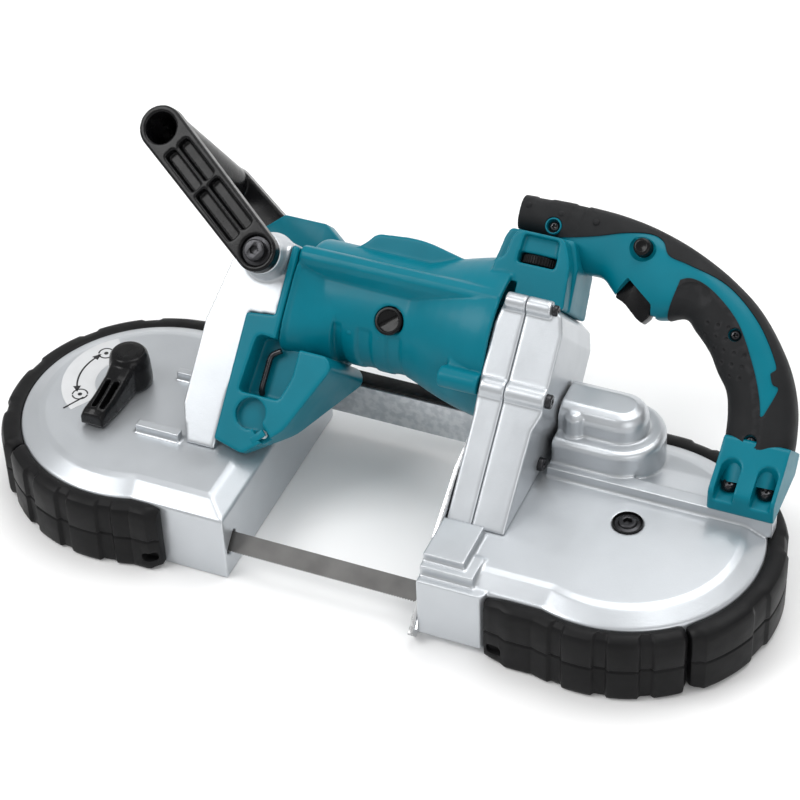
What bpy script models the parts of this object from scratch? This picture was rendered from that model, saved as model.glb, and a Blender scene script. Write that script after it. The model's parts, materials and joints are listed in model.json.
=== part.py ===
"""Cordless portable band saw, resting on the open side of its wheel housings.

Lengths are written in millimetres and become metres when a mesh is made. The wheels turn in a
level plane. The motor, the handles and the cutting stretch of the blade lie in a work plane tilted
45 degrees about X, written as (x, v, n): x runs along the blade, v up the work plane, n out of it.
"""

import math

import bmesh
import bpy
from mathutils import Matrix, Vector

MM = 0.001
GAP = 0.3                       # free space between neighbouring pieces

# --- wheels, blade and housings -----------------------------------------------------------------
CENTRE_SHIFT_Y = -36.1          # puts the origin under the middle of the outline
WHEEL_X = 162.0                 # half the distance between the wheel axes
WHEEL_Z = 29.0
WHEEL_WIDTH = 13.0
WHEEL_R = 72.5
TYRE_R = 76.0
BLADE_WIDTH = 13.0
BLADE_THICK = 0.6
BLADE_R = TYRE_R + GAP + BLADE_THICK / 2
DISC_R = 85.0                   # edge of the silver housing
RIM_R = 98.5                    # outside of the rubber rim
DECK_Z = 48.0                   # edge of the housing's top
CROWN_Z = 55.0                  # raised middle of the housing's top
CROWN_INSET = 12.0
SHELL = 3.5
FRONT_Y = -81.0                 # flat front walls beside the throat
BACK_Y = DISC_R
THROAT_LEFT = -73.5
THROAT_RIGHT = 57.5

# --- work plane ---------------------------------------------------------------------------------
TILT = math.radians(45.0)
CUT_V = -67.5                   # middle of the blade's cutting stretch
CUT_N = 32.2
GUIDE_LEFT_X = -86.0
GUIDE_RIGHT_X = 70.0
FACE_N = 32.2                   # front face of the gear case
CASE_LOW = -45.0                # rear face of the gear case
HANDLE_N = -18.5                # parting plane of the D handle
HANDLE_HALF = 17.0

# --- drive train --------------------------------------------------------------------------------
MOTOR_V = 97.5
MOTOR_N = -15.4
MOTOR_R = 37.6
COUNTER_DROP = 32.0             # motor shaft to countershaft
MOTOR_TEETH = 16
COUNTER_TEETH = 48
COUNTER_MODULE = 1.0
BEVEL_PINION_TEETH = 12
BEVEL_GEAR_TEETH = 24
BEVEL_PINION_R = 6.0
BEVEL_GEAR_R = 12.0
SPUR_PINION_TEETH = 12
SPUR_GEAR_TEETH = 50
SPUR_MODULE = 2.0
SPUR_CENTRES = 62.0
SPUR_Z0 = 39.5
SPUR_Z1 = 46.0

# --- tension lever ------------------------------------------------------------------------------
LEVER_X = -183.0
LEVER_Y = 13.5

COLOURS = {
    "silver": ((0.62, 0.64, 0.66), 0.35, 0.6),
    "teal": ((0.0, 0.29, 0.36), 0.4, 0.0),
    "black": ((0.012, 0.012, 0.013), 0.3, 0.0),
    "rubber": ((0.016, 0.016, 0.017), 0.65, 0.0),
    "grip": ((0.05, 0.052, 0.055), 0.7, 0.0),
    "steel": ((0.42, 0.42, 0.43), 0.32, 1.0),
    "dark_steel": ((0.05, 0.05, 0.055), 0.4, 0.9),
    "copper": ((0.55, 0.26, 0.12), 0.4, 0.9),
    "lens": ((0.75, 0.8, 0.8), 0.1, 0.0),
}


def clear_scene():
    for item in list(bpy.data.objects):
        bpy.data.objects.remove(item, do_unlink=True)


def material(name):
    found = bpy.data.materials.get(name)
    if found:
        return found
    colour, roughness, metallic = COLOURS[name]
    made = bpy.data.materials.new(name)
    made.use_nodes = True
    shader = made.node_tree.nodes["Principled BSDF"]
    shader.inputs["Base Color"].default_value = (*colour, 1.0)
    shader.inputs["Roughness"].default_value = roughness
    shader.inputs["Metallic"].default_value = metallic
    return made


# --- frames: matrices in millimetres ------------------------------------------------------------
def level(x=0.0, y=0.0, z=0.0):
    """Upright frame at a point of the wheel plane's coordinates."""
    return Matrix.Translation((x, y + CENTRE_SHIFT_Y, z))


def work(x=0.0, v=0.0, n=0.0):
    """Frame of the tilted work plane: its axes are x, v and n."""
    plane = level(0, 0, DECK_Z) @ Matrix.Rotation(TILT, 4, "X")
    return plane @ Matrix.Translation((x, v, n))


def along_x(frame):
    """The same frame with its Z axis turned to lie along X."""
    return frame @ Matrix.Rotation(math.radians(90), 4, "Y")


def along_v(frame):
    """The same frame with its Z axis turned to lie along its Y axis."""
    return frame @ Matrix.Rotation(math.radians(-90), 4, "X")


# --- meshes -------------------------------------------------------------------------------------
def loft(rings, frame, closed_ring=False):
    """Skin a list of rings, each a list of (x, y, z). Ends are capped unless the rings close."""
    mesh = bmesh.new()
    rows = [[mesh.verts.new(frame @ Vector(p) * MM) for p in ring] for ring in rings]
    pairs = list(zip(rows, rows[1:]))
    if closed_ring:
        pairs.append((rows[-1], rows[0]))
    else:
        mesh.faces.new(rows[0][::-1])
        mesh.faces.new(rows[-1])
    for low, high in pairs:
        for i in range(len(low)):
            j = (i + 1) % len(low)
            mesh.faces.new((low[i], low[j], high[j], high[i]))
    bmesh.ops.recalc_face_normals(mesh, faces=mesh.faces)
    return mesh


def prism(outline, low, high, frame):
    return loft([[(x, y, low) for x, y in outline], [(x, y, high) for x, y in outline]], frame)


def box(low, high, frame):
    (x0, y0, z0), (x1, y1, z1) = low, high
    return prism([(x0, y0), (x1, y0), (x1, y1), (x0, y1)], z0, z1, frame)


def circle(radius, steps, x=0.0, y=0.0):
    turn = math.tau / steps
    return [(x + radius * math.cos(i * turn), y + radius * math.sin(i * turn)) for i in range(steps)]


def turned(profile, frame, steps=24):
    """Solid of revolution about the frame's Z axis from (radius, height) pairs, base to top."""
    rings = [[(x, y, height) for x, y in circle(radius, steps)] for radius, height in profile]
    return loft(rings, frame)


def ring(inner, outer, low, high, frame, steps=32):
    """Tube with square edges about the frame's Z axis."""
    return revolve([(inner, low), (outer, low), (outer, high), (inner, high)], frame, steps)


def revolve(section, frame, steps):
    """Ring made by turning a closed section of (radius, height) about the frame's Z axis."""
    turn = math.tau / steps
    rings = [[(r * math.cos(i * turn), r * math.sin(i * turn), z) for r, z in section]
             for i in range(steps)]
    return loft(rings, frame, closed_ring=True)


def sector(inner, outer, low, high, start, end, frame, steps):
    """Part of a tube between two angles in degrees."""
    rings = []
    for i in range(steps + 1):
        a = math.radians(start + (end - start) * i / steps)
        c, s = math.cos(a), math.sin(a)
        rings.append([(inner * c, inner * s, low), (outer * c, outer * s, low),
                      (outer * c, outer * s, high), (inner * c, inner * s, high)])
    return loft(rings, frame)


def arc(radius, start, end, steps, x=0.0, y=0.0):
    """Points of an arc between two angles in degrees, both ends included."""
    out = []
    for i in range(steps + 1):
        a = math.radians(start + (end - start) * i / steps)
        out.append((x + radius * math.cos(a), y + radius * math.sin(a)))
    return out


def gear_outline(teeth, pitch_r, size, tooth_at, root=1.15):
    """Slim-toothed gear outline; size is the module, tooth_at the angle of one tooth."""
    pitch = math.tau / teeth
    corners = [(-0.23, -root), (-0.09, 0.8), (0.09, 0.8), (0.23, -root)]
    out = []
    for i in range(teeth):
        for share, height in corners:
            a = tooth_at + (i + share) * pitch
            r = pitch_r + height * size
            out.append((r * math.cos(a), r * math.sin(a)))
    return out


# --- objects ------------------------------------------------------------------------------------
def add(name, mesh, surface, pivot=None, smooth=True):
    """Make an object from a mesh built in world place; pivot is its origin in millimetres."""
    origin = pivot.translation * MM if pivot else Vector((0, 0, 0))
    bmesh.ops.translate(mesh, verts=mesh.verts, vec=-origin)
    data = bpy.data.meshes.new(name)
    mesh.to_mesh(data)
    mesh.free()
    made = bpy.data.objects.new(name, data)
    made.location = origin
    bpy.context.scene.collection.objects.link(made)
    data.materials.append(material(surface))
    if smooth:
        data.shade_smooth()
        data.set_sharp_from_angle(angle=math.radians(32))
    return made


def combine(target, mesh, operation):
    """Boolean a tool mesh into the target."""
    tool = add(target.name + "_tool", mesh, "steel", smooth=False)
    tool.hide_render = True
    tool.display_type = "WIRE"
    change = target.modifiers.new(operation.lower(), "BOOLEAN")
    change.operation = operation
    change.solver = "EXACT"
    change.object = tool


def cut(target, mesh):
    combine(target, mesh, "DIFFERENCE")


def fuse(target, mesh):
    combine(target, mesh, "UNION")


# --- wheel housings -----------------------------------------------------------------------------
def housing_outline(side, inset):
    """Plan of a wheel housing. side is -1 for the idler end and +1 for the drive end."""
    radius = DISC_R - inset
    front = FRONT_Y + inset
    throat = THROAT_LEFT - inset if side < 0 else THROAT_RIGHT + inset
    meet = math.degrees(math.asin(front / radius))
    if side < 0:
        curve = arc(radius, 90, 360 + meet, 26, -WHEEL_X)
        return curve + [(throat, front), (throat, BACK_Y - inset)]
    curve = arc(radius, 180 - meet, 450, 26, WHEEL_X)
    return curve + [(throat, BACK_Y - inset), (throat, front)]


def housing_shell(name, side):
    """Pan open at the bottom, with a crowned top."""
    frame = level()
    levels = [(0.0, 0.0), (DECK_Z, 0.0), (CROWN_Z, CROWN_INSET)]
    rings = [[(x, y, z) for x, y in housing_outline(side, inset)] for z, inset in levels]
    shell = add(name, loft(rings, frame), "silver")
    levels = [(-1.0, SHELL), (DECK_Z - SHELL, SHELL), (CROWN_Z - SHELL, CROWN_INSET + SHELL)]
    rings = [[(x, y, z) for x, y in housing_outline(side, inset)] for z, inset in levels]
    hollow = loft(rings, frame)
    return shell, hollow


def blade_passages(shell, throat):
    """Slots in a throat wall for both stretches of the blade."""
    low_x, high_x = throat - 5, throat + 5
    cut(shell, box((low_x, BLADE_R - 3, 16), (high_x, BLADE_R + 3, 38), level()))
    cut(shell, box((low_x, -8, -3.2), (high_x, 8, 3.2), work(0, CUT_V, CUT_N)))


def idler_housing():
    shell, hollow = housing_shell("idler_housing", -1)
    fuse(shell, box((-126, -14, 50), (-107, 2, 58), level()))
    fuse(shell, box((-158, -30, 52), (-128, -24, 61), level()))
    fuse(shell, box((-156, 26, 52), (-133, 31, 61), level()))
    cut(shell, hollow)
    for y in (-18.6, 15.6):
        fuse(shell, box((-168, y, 38), (-146, y + 3, 52.5), level()))
    blade_passages(shell, THROAT_LEFT - SHELL / 2)
    cut(shell, box((-93, FRONT_Y + 1.4, 12), (-77, -70, 40), level()))
    cut(shell, turned([(4.6, 45), (4.6, 70)], level(LEVER_X, LEVER_Y), 16))


def drive_housing():
    shell, hollow = housing_shell("drive_housing", 1)
    fuse(shell, box((100.5, 23, 50), (246, 33, 62), level()))
    fuse(shell, rear_slope())
    bulge_y = counter_point()[1]
    fuse(shell, bulge(28, 79, bulge_y, 50))
    fuse(shell, bulge(17, 97, bulge_y, 60))
    fuse(shell, box((THROAT_RIGHT, -86.5, 5), (101, -60, 61), level()))
    cut(shell, hollow)
    cut(shell, bulge(25, 76, bulge_y, 40, 105))
    cut(shell, bulge(14, 94, bulge_y, 58, 96))
    cut(shell, box((60, -84, 8), (97, -70, 57), level()))
    blade_passages(shell, THROAT_RIGHT + SHELL / 2)
    cut(shell, turned([(4.4, 45), (4.4, 60)], level(WHEEL_X, 0), 16))
    cut(shell, turned([(9.5, 53), (9.5, 60)], level(WHEEL_X, 0), 24))


def rear_slope():
    """Raised deck behind the ridge, falling gently towards the back rim."""
    plan = [(100.5, 32)] + arc(83.5, 22.5, 90, 8, WHEEL_X) + [(100.5, 83.5)]
    low = [(x, y, 44) for x, y in plan]
    high = [(x, y, 60.5 - (y - 32) * 0.24) for x, y in plan]
    return loft([low, high], level())


def bulge(radius, top, y, bottom, left=101.5):
    """Gear bulge on the drive housing: straight sides and a half-round end."""
    x = intermediate_point()[0]
    outline = [(left, y - radius)] + arc(radius, -90, 90, 12, x, y) + [(left, y + radius)]
    return prism(outline, bottom, top, level())


def rear_bar():
    """Downward-open channel that carries the blade's return stretch behind the throat."""
    x0, x1 = THROAT_LEFT + GAP, THROAT_RIGHT - GAP
    y0, y1 = BLADE_R - 6.5, BLADE_R + 6.5
    outline = [(y0, 20), (y0 + 2.5, 20), (y0 + 2.5, 43), (y1 - 2.5, 43), (y1 - 2.5, 20), (y1, 20),
               (y1, 46.5), (y0, 46.5)]
    frame = level() @ Matrix(((0, 0, 1, 0), (1, 0, 0, 0), (0, 1, 0, 0), (0, 0, 0, 1)))
    add("rear_bar", prism(outline, x0, x1, frame), "silver")
    strip = box((x0, y0 + 1, 46.5 + GAP), (x1, y1 - 1, 49.5), level())
    add("rear_bar_strip", strip, "rubber")


def idler_arm():
    """Sloping casting that carries the motor end and the front handle."""
    outline = [(-122, -18), (-104, -18), (-104, 75), (-85, 77), (-85, 124), (-112, 124), (-124, 104),
               (-131, 66), (-132, 10)]
    arm = add("idler_arm", prism(outline, -38, 26, work()), "silver")
    fuse(arm, turned([(15, 20), (13.5, 40.2)], work(-100.5, 112), 24))
    fuse(arm, turned([(6.5, -100), (6.5, -85.2)], along_x(work(0, 118, 24)), 12))
    cut(arm, box((-300, -200, -200), (0, 200, CROWN_Z + GAP), level()))
    cut(arm, box((-127.5, -16, 0), (-105.5, 4, 58.4), level()))
    cut(arm, turned([(3.6, -60), (3.6, 60)], work(-100.5, 112), 12))


# --- gear case ----------------------------------------------------------------------------------
def gear_case():
    deck = box((0, -200, -200), (140, 200, CROWN_Z + GAP), level())
    case_line = [(THROAT_RIGHT + GAP, -24), (74, -24), (74, 121), (60, 121), (56.5, 104), (56.5, 73),
                 (THROAT_RIGHT + GAP, 45)]
    case = add("gear_case", prism(case_line, CASE_LOW, FACE_N, work()), "silver")
    fuse(case, turned([(5.5, 60.5), (5.5, 74)], along_x(work(0, 119, 31.5)), 12))
    fuse(case, turned([(7, 58), (7, 74)], along_x(work(0, 64.5, 29)), 12))
    cut(case, box((61, 30, CASE_LOW + 4), (80, 116, 28), work()))
    cut(case, turned([(11.6, 50), (11.6, 70)], along_x(work(0, MOTOR_V, MOTOR_N)), 24))
    cut(case, deck)
    cover_line = [(74 + GAP, -24), (95.5, -24), (96.5, 46), (100.2, 56), (100.2, 105), (97, 116),
                  (90, 121), (74 + GAP, 121)]
    cover = add("gear_cover", prism(cover_line, CASE_LOW, FACE_N, work()), "silver")
    fuse(cover, turned([(5.5, 74 + GAP), (5.5, 90)], along_x(work(0, 119, 31.5)), 12))
    fuse(cover, turned([(7, 74 + GAP), (7, 100.2)], along_x(work(0, 64.5, 29)), 12))
    cut(cover, box((70, 30, CASE_LOW + 4), (93, 116, 28), work()))
    cut(cover, turned([(9.3, 85), (9.3, 110)], along_x(work(0, MOTOR_V - COUNTER_DROP, MOTOR_N)), 24))
    deck = box((0, -200, -200), (140, 200, CROWN_Z + GAP), level())
    cut(cover, deck)


# --- points shared by the drive train -----------------------------------------------------------
def counter_point():
    """Y and Z of the countershaft, before the shift to the origin, as (0, y, z)."""
    spot = work(0, MOTOR_V - COUNTER_DROP, MOTOR_N).translation
    return (0.0, spot.y - CENTRE_SHIFT_Y, spot.z)


def intermediate_point():
    """X and Y of the upright shaft under the gear bulge."""
    y = counter_point()[1]
    x = WHEEL_X - math.sqrt(SPUR_CENTRES ** 2 - y ** 2)
    return (x, y)


def drive_train():
    motor = along_x(work(0, MOTOR_V, MOTOR_N))
    counter = along_x(work(0, MOTOR_V - COUNTER_DROP, MOTOR_N))
    # In the turned frames the direction from the motor shaft to the countershaft is local -Y.
    shaft = add("motor_shaft", turned([(4, -79.5), (4, 61.5)], motor, 16), "steel", motor)
    fuse(shaft, prism(gear_outline(MOTOR_TEETH, MOTOR_TEETH * COUNTER_MODULE / 2, COUNTER_MODULE,
                                   -math.pi / 2), 61.2, 73, motor))
    wheel = prism(gear_outline(COUNTER_TEETH, COUNTER_TEETH * COUNTER_MODULE / 2, COUNTER_MODULE,
                               math.pi / 2 + math.pi / COUNTER_TEETH), 63, 71, counter)
    gear = add("counter_gear", wheel, "dark_steel", counter)
    cut(gear, turned([(5 + GAP, 50), (5 + GAP, 80)], counter, 16))

    x, y = intermediate_point()
    apex_z = counter_point()[2]
    back = x - BEVEL_GEAR_R
    # Straight down is 45 degrees below the first axis of the countershaft's turned frame.
    pinion_line = gear_outline(BEVEL_PINION_TEETH, 1.0, 2 / BEVEL_PINION_TEETH, -math.pi / 4)
    counter_shaft = add("countershaft", turned([(5, 61.5), (5, back - 1)], counter, 16), "steel",
                        counter)
    slope = BEVEL_PINION_R / BEVEL_GEAR_R
    fuse(counter_shaft, cone_gear(pinion_line, slope, back - 1.5, back + 5, x, counter))
    upright = level(x, y)
    gear_line = gear_outline(BEVEL_GEAR_TEETH, 1.0, 2 / BEVEL_GEAR_TEETH,
                             math.pi + math.pi / BEVEL_GEAR_TEETH, 2.2)
    gear_top = apex_z - BEVEL_PINION_R
    bevel = cone_gear(gear_line, 1 / slope, gear_top - 0.2, gear_top + 2.3, apex_z, upright)
    bevel_gear = add("bevel_gear", bevel, "dark_steel", upright)
    cut(bevel_gear, turned([(4 + GAP, 60), (4 + GAP, 90)], upright, 16))
    inner = add("intermediate_shaft", turned([(4, SPUR_Z0), (4, gear_top + 1.5)], upright, 16),
                "steel", upright)
    to_spindle = math.atan2(-y, WHEEL_X - x)
    fuse(inner, prism(gear_outline(SPUR_PINION_TEETH, SPUR_PINION_TEETH * SPUR_MODULE / 2,
                                   SPUR_MODULE, to_spindle), SPUR_Z0, SPUR_Z1, upright))
    spindle = level(WHEEL_X, 0)
    line = gear_outline(SPUR_GEAR_TEETH, SPUR_GEAR_TEETH * SPUR_MODULE / 2, SPUR_MODULE,
                        to_spindle + math.pi + math.pi / SPUR_GEAR_TEETH)
    spur = add("spindle_gear", prism(line, SPUR_Z0, SPUR_Z1, spindle), "dark_steel", spindle)
    cut(spur, turned([(8 + GAP, 30), (8 + GAP, 60)], spindle, 20))
    add("drive_spindle", turned([(6, 17.5), (6, 20), (8, 20.2), (8, 46.5), (4, 47), (4, 51)],
                                spindle, 20), "steel", spindle)


def cone_gear(unit_line, slope, low, high, apex, frame):
    """Bevel gear: a unit outline scaled to a cone that closes at apex."""
    rings = []
    for height in (low, high):
        r = slope * abs(apex - height)
        rings.append([(px * r, py * r, height) for px, py in unit_line])
    return loft(rings, frame)


# --- wheels and blade ---------------------------------------------------------------------------
def band_wheel(name, x, bore):
    """Spoked band wheel with its rubber tyre."""
    frame = level(x, 0, WHEEL_Z)
    half = WHEEL_WIDTH / 2
    section = [(bore, -half - 2), (17, -half - 2), (19, -3), (60, -3), (64, -half), (WHEEL_R, -half),
               (WHEEL_R, half), (64, half), (60, 3), (19, 3), (17, half), (bore, half)]
    wheel = add(name + "_wheel", revolve(section, frame, 40), "silver", frame)
    for i in range(5):
        a = math.radians(90 + 72 * i)
        spot = level(x + 40 * math.cos(a), 40 * math.sin(a), WHEEL_Z)
        cut(wheel, turned([(11, -9), (11, 9)], spot, 16))
    add(name + "_tyre", ring(WHEEL_R + GAP, TYRE_R, -half, half, frame, 40), "rubber", frame)


def blade():
    """Endless band: upright on the wheels and twisted flat to the work plane in the throat."""
    rings = []
    half_t, half_w = BLADE_THICK / 2, BLADE_WIDTH / 2

    def station(x, y, z, out, up):
        centre = Vector((x, y, z))
        out, up = Vector(out) * half_t, Vector(up) * half_w
        rings.append([centre - out - up, centre + out - up, centre + out + up, centre - out + up])

    cut_y = (CUT_V - CUT_N) * math.cos(TILT)
    cut_z = DECK_Z + (CUT_V + CUT_N) * math.sin(TILT)
    for centre_x, first in ((WHEEL_X, -90), (-WHEEL_X, 90)):
        for i in range(25):
            a = math.radians(first + 7.5 * i)
            out = (math.cos(a), math.sin(a), 0)
            station(centre_x + BLADE_R * out[0], BLADE_R * out[1], WHEEL_Z, out, (0, 0, 1))
    turn_from = (-WHEEL_X + 14, WHEEL_X - 14)
    turn_to = (GUIDE_LEFT_X - 6, GUIDE_RIGHT_X + 6)
    steps = 8
    shares = [i / steps for i in range(steps + 1)]
    path = [(turn_from[0] + (turn_to[0] - turn_from[0]) * s, s) for s in shares]
    path += [(turn_to[1] + (turn_from[1] - turn_to[1]) * s, 1 - s) for s in shares]
    for x, share in path:
        blend = share * share * (3 - 2 * share)
        lean = (math.pi / 2 - TILT) * blend
        out = (0, -math.cos(lean), math.sin(lean))
        up = (0, math.sin(lean), math.cos(lean))
        y = -BLADE_R + (cut_y + BLADE_R) * blend
        z = WHEEL_Z + (cut_z - WHEEL_Z) * blend
        station(x, y, z, out, up)
    add("blade", loft(rings, level(), closed_ring=True), "steel")


def wheel_pieces():
    band_wheel("drive", WHEEL_X, 8 + GAP)
    band_wheel("idler", -WHEEL_X, 7 + GAP)
    screw = turned([(3.6, 51.6), (3.6, 53.2), (8.5, 53.4), (8.5, 55.5), (7.5, 56.3)],
                   level(WHEEL_X, 0), 24)
    head = add("spindle_cap_screw", screw, "dark_steel")
    cut(head, prism(circle(3.2, 6), 54, 60, level(WHEEL_X, 0)))


# --- tension lever and idler carriage -----------------------------------------------------------
def tension_parts():
    axle = level(-WHEEL_X, 0)
    plate = box((-206, -15, 38.5), (-150, 15, 42.5), level())
    carriage = add("idler_carriage", plate, "steel", axle)
    fuse(carriage, box((-206, -8, 42), (-196.3, 15, 50), level()))
    pin = turned([(9, 17.5), (9, 19.8), (7, 20), (7, 38.2)], axle, 20)
    add("idler_axle", pin, "steel", axle)
    add("tension_spring", helix(3.6, 0.7, 12, 3, along_x(level(-193, -4, 46.9))), "dark_steel")
    pivot = level(LEVER_X, LEVER_Y)
    hub = turned([(4.2, 44), (4.2, 55.6), (14.2, 56), (13.6, 70), (12.2, 80), (11, 81)], pivot, 28)
    lever = add("tension_lever", hub, "black", pivot)
    arm = [[(-9, -4, 56.6), (9, -4, 56.6), (8, -4, 79), (-8, -4, 79)],
           [(-8, -20, 56.6), (8, -20, 56.6), (7, -20, 74), (-7, -20, 74)],
           [(-10.5, -50, 56.6), (5, -50, 56.6), (4, -50, 70), (-9.5, -50, 70)]]
    fuse(lever, loft(arm, pivot))
    cam = add("tension_cam", prism(circle(8, 24, -4, 0), 44.8, 50, pivot), "dark_steel", pivot)
    cut(cam, turned([(4.2 + GAP, 40), (4.2 + GAP, 60)], pivot, 16))


def helix(radius, wire, length, turns, frame):
    """Coil of round wire about the frame's Z axis."""
    steps = 12 * turns
    rings = []
    for i in range(steps + 1):
        a = math.tau * i / 12
        height = length * i / steps
        rings.append([((radius + p) * math.cos(a), (radius + p) * math.sin(a), height + q)
                      for p, q in circle(wire, 6)])
    return loft(rings, frame)


# --- blade guides and stopper -------------------------------------------------------------------
def guides():
    for name, x in (("left", GUIDE_LEFT_X), ("right", GUIDE_RIGHT_X)):
        frame = work(x, 0, 0)
        back = CUT_V + BLADE_WIDTH / 2 + 1
        holder = add("guide_block_" + name, box((-6, back, CUT_N - 8), (6, back + 8, CUT_N + 6.5),
                                                frame), "dark_steel")
        fuse(holder, box((x - 6, -62, 34), (x + 6, -54, 45.8), level()))
        for side, offset in (("inner", -3.9), ("outer", 3.9)):
            axis = along_v(work(x, 0, CUT_N + offset))
            fuse(holder, turned([(1.5, CUT_V - 5.6), (1.5, back + 2)], axis, 10))
            add("guide_roller_%s_%s" % (name, side),
                ring(1.8, 3.3, CUT_V - 5, CUT_V + 5, axis, 16), "steel", axis)


def stopper_plate():
    line = [(46, -8), (43.5, 14), (10, 31), (-34, 40.5), (-60, 40.5), (-94, 39), (-94.5, 29),
            (-84, 20), (-80, 14), (-30, 14), (-10, -8)]
    x0 = THROAT_RIGHT - 3.2
    frame = work() @ Matrix(((0, 0, 1, 0), (1, 0, 0, 0), (0, 1, 0, 0), (0, 0, 0, 1)))
    plate = add("stopper_plate", prism(line, x0, x0 + 2.8, frame), "steel", work(x0, 0, 30))
    cut(plate, prism([(-90, 27.5), (-58, 27.5), (-58, 36.5), (-90, 36.5)], x0 - 2, x0 + 5, frame))


# --- rubber -------------------------------------------------------------------------------------
def bumpers():
    """Thick front bumpers that turn the corner onto the straight front, and the thinner rims."""
    inner, outer = DISC_R + GAP, RIM_R - 2
    depth = FRONT_Y - 11.5
    corner = -math.degrees(math.asin(-(FRONT_Y - GAP) / inner))
    turn = -math.degrees(math.asin(-depth / outer))
    line = arc(outer, 222, 360 + turn, 12, -WHEEL_X) + [(-116, depth), (-116, FRONT_Y - GAP)]
    line += arc(inner, 360 + corner, 222, 12, -WHEEL_X)
    add("bumper_idler_front", prism(line, 0, DECK_Z + 1, level()), "rubber")
    line = [(101 + GAP, FRONT_Y - GAP), (101 + GAP, depth)] + arc(outer, 180 - turn, 312, 12, WHEEL_X)
    line += arc(inner, 312, 180 - corner, 12, WHEEL_X)
    add("bumper_drive_front", prism(line, 0, DECK_Z + 1, level()), "rubber")
    add("rim_idler", sector(inner, RIM_R, 1, DECK_Z, 90.3, 221.5, level(-WHEEL_X, 0), 18), "rubber")
    line = arc(RIM_R, -47.5, 90, 18, WHEEL_X) + [(112, RIM_R), (112, inner)]
    line += arc(inner, 90, -47.5, 18, WHEEL_X)
    add("rim_drive", prism(line, 1, DECK_Z, level()), "rubber")


# --- motor --------------------------------------------------------------------------------------
def motor_parts():
    axis = along_x(work(0, MOTOR_V, MOTOR_N))
    profile = [(33.5, -80), (MOTOR_R, -76), (MOTOR_R, -12), (43, 13), (51, 42), (52, 56.2)]
    housing = add("motor_housing", turned(profile, axis, 40), "teal")
    hump = [(-58, 126), (-58, 133), (-47, 143), (-14, 147), (24, 139), (34, 132), (34, 126)]
    fuse(housing, prism(hump, -34, -4, work()))
    neck = [(20, 110), (20, 133), (33, 138.5), (38, 144), (40, 150), (41.5, 160), (44, 165.7),
            (86, 165.7), (92, 150), (94, 121.3), (56.1, 121.3), (50, 110)]
    fuse(housing, prism(neck, -36, 6, work()))
    dial_block = [(42, 118), (42.5, 143), (48, 146), (50, 160), (54, 164.5), (83, 164.5), (90, 150),
                  (93, 121.3), (56.1, 121.3), (50, 110)]
    fuse(housing, prism(dial_block, 0, 19, work()))
    inside = [(34.2, -73.5), (34.2, -12), (39.5, 13), (47.3, 42), (48.6, 60)]
    cut(housing, turned(inside, axis, 40))
    cut(housing, turned([(11.3, -90), (11.3, -70)], axis, 20))
    cut(housing, box((56.2, 40, -80), (120, 121.3, 60), work()))
    cut(housing, box((THROAT_RIGHT - 3.6, 30, -8.6), (60, 58.8, 16), work()))
    cut(housing, box((57, 146, 14), (80, 162, 22), work()))
    cut(housing, box((55.5, 144.5, -7), (81.5, 151.5, 22), work()))
    for side, out in (("front", 1), ("rear", -1)):
        n_face = MOTOR_N + out * MOTOR_R
        low, high = sorted((n_face - out * 3.2, n_face + out * 0.4))
        cut(housing, turned([(9.5, min(low, n_face) - 4), (9.5, high + 4)], work(-13.5, 90, 0), 20))
        cap = add("brush_cap_" + side, turned([(9, low), (9, high)], work(-13.5, 90, 0), 20), "black")
        cut(cap, box((-7, -1.2, n_face - 1), (7, 1.2, n_face + 1), work(-13.5, 90, 0)
                     @ Matrix.Rotation(math.radians(35), 4, "Z")))
    add("stator", ring(27, 33, -55, 5, axis, 28), "dark_steel")
    armature = add("armature", turned([(20, -44), (25.5, -40), (25.5, -4), (20, 0)], axis, 24), "copper",
                   axis)
    cut(armature, turned([(4 + GAP, -60), (4 + GAP, 10)], axis, 16))
    fan = add("cooling_fan", prism(gear_outline(11, 28, 6, 0), 8, 14, axis), "black", axis)
    cut(fan, turned([(4 + GAP, 0), (4 + GAP, 20)], axis, 16))
    add("bearing_rear", ring(4 + GAP, 11, -80, -74, axis, 20), "steel")
    add("bearing_front", ring(4 + GAP, 11.2, 56.8, 60.8, axis, 20), "steel")
    dial = work(68.5, 0, 6)
    add("speed_dial", turned([(11, 145), (12, 146), (12, 150), (11, 151)], along_v(dial), 24), "grip",
        along_v(work(68.5, 148, 6)))


def side_block():
    line = [(-103.7, -8), (-83, -13), (-60, 7), (-39, 52), (-44, 59), (-80.3, 59), (-80.3, 122),
            (-84.7, 122), (-84.7, 76.6), (-103.7, 74.6)]
    block = add("side_block", prism(line, -37, 31, work()), "teal")
    cut(block, box((-300, -200, -200), (0, 200, CROWN_Z + GAP), level()))
    cut(block, box((-95, 24, 14), (-64, 57, 40), work()))
    cut(block, box((-80, -1, 26), (-70, 7, 40), work()))
    add("led_lens", box((-79.4, -0.4, 26.3), (-70.6, 6.4, 30), work()), "lens")
    add("hex_key", tube([(-84, 55), (-88, 48), (-84, 26)], 2.0, 17.5), "dark_steel")


def tube(points, radius, n):
    """Bent round rod through (x, v) points at one height above the work plane."""
    rings = []
    for i, (x, v) in enumerate(points):
        before = Vector(points[max(i - 1, 0)])
        after = Vector(points[min(i + 1, len(points) - 1)])
        along = (after - before).normalized()
        side = Vector((-along.y, along.x))
        rings.append([(x + side.x * a, v + side.y * a, n + b) for a, b in circle(radius, 8)])
    return loft(rings, work())


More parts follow.
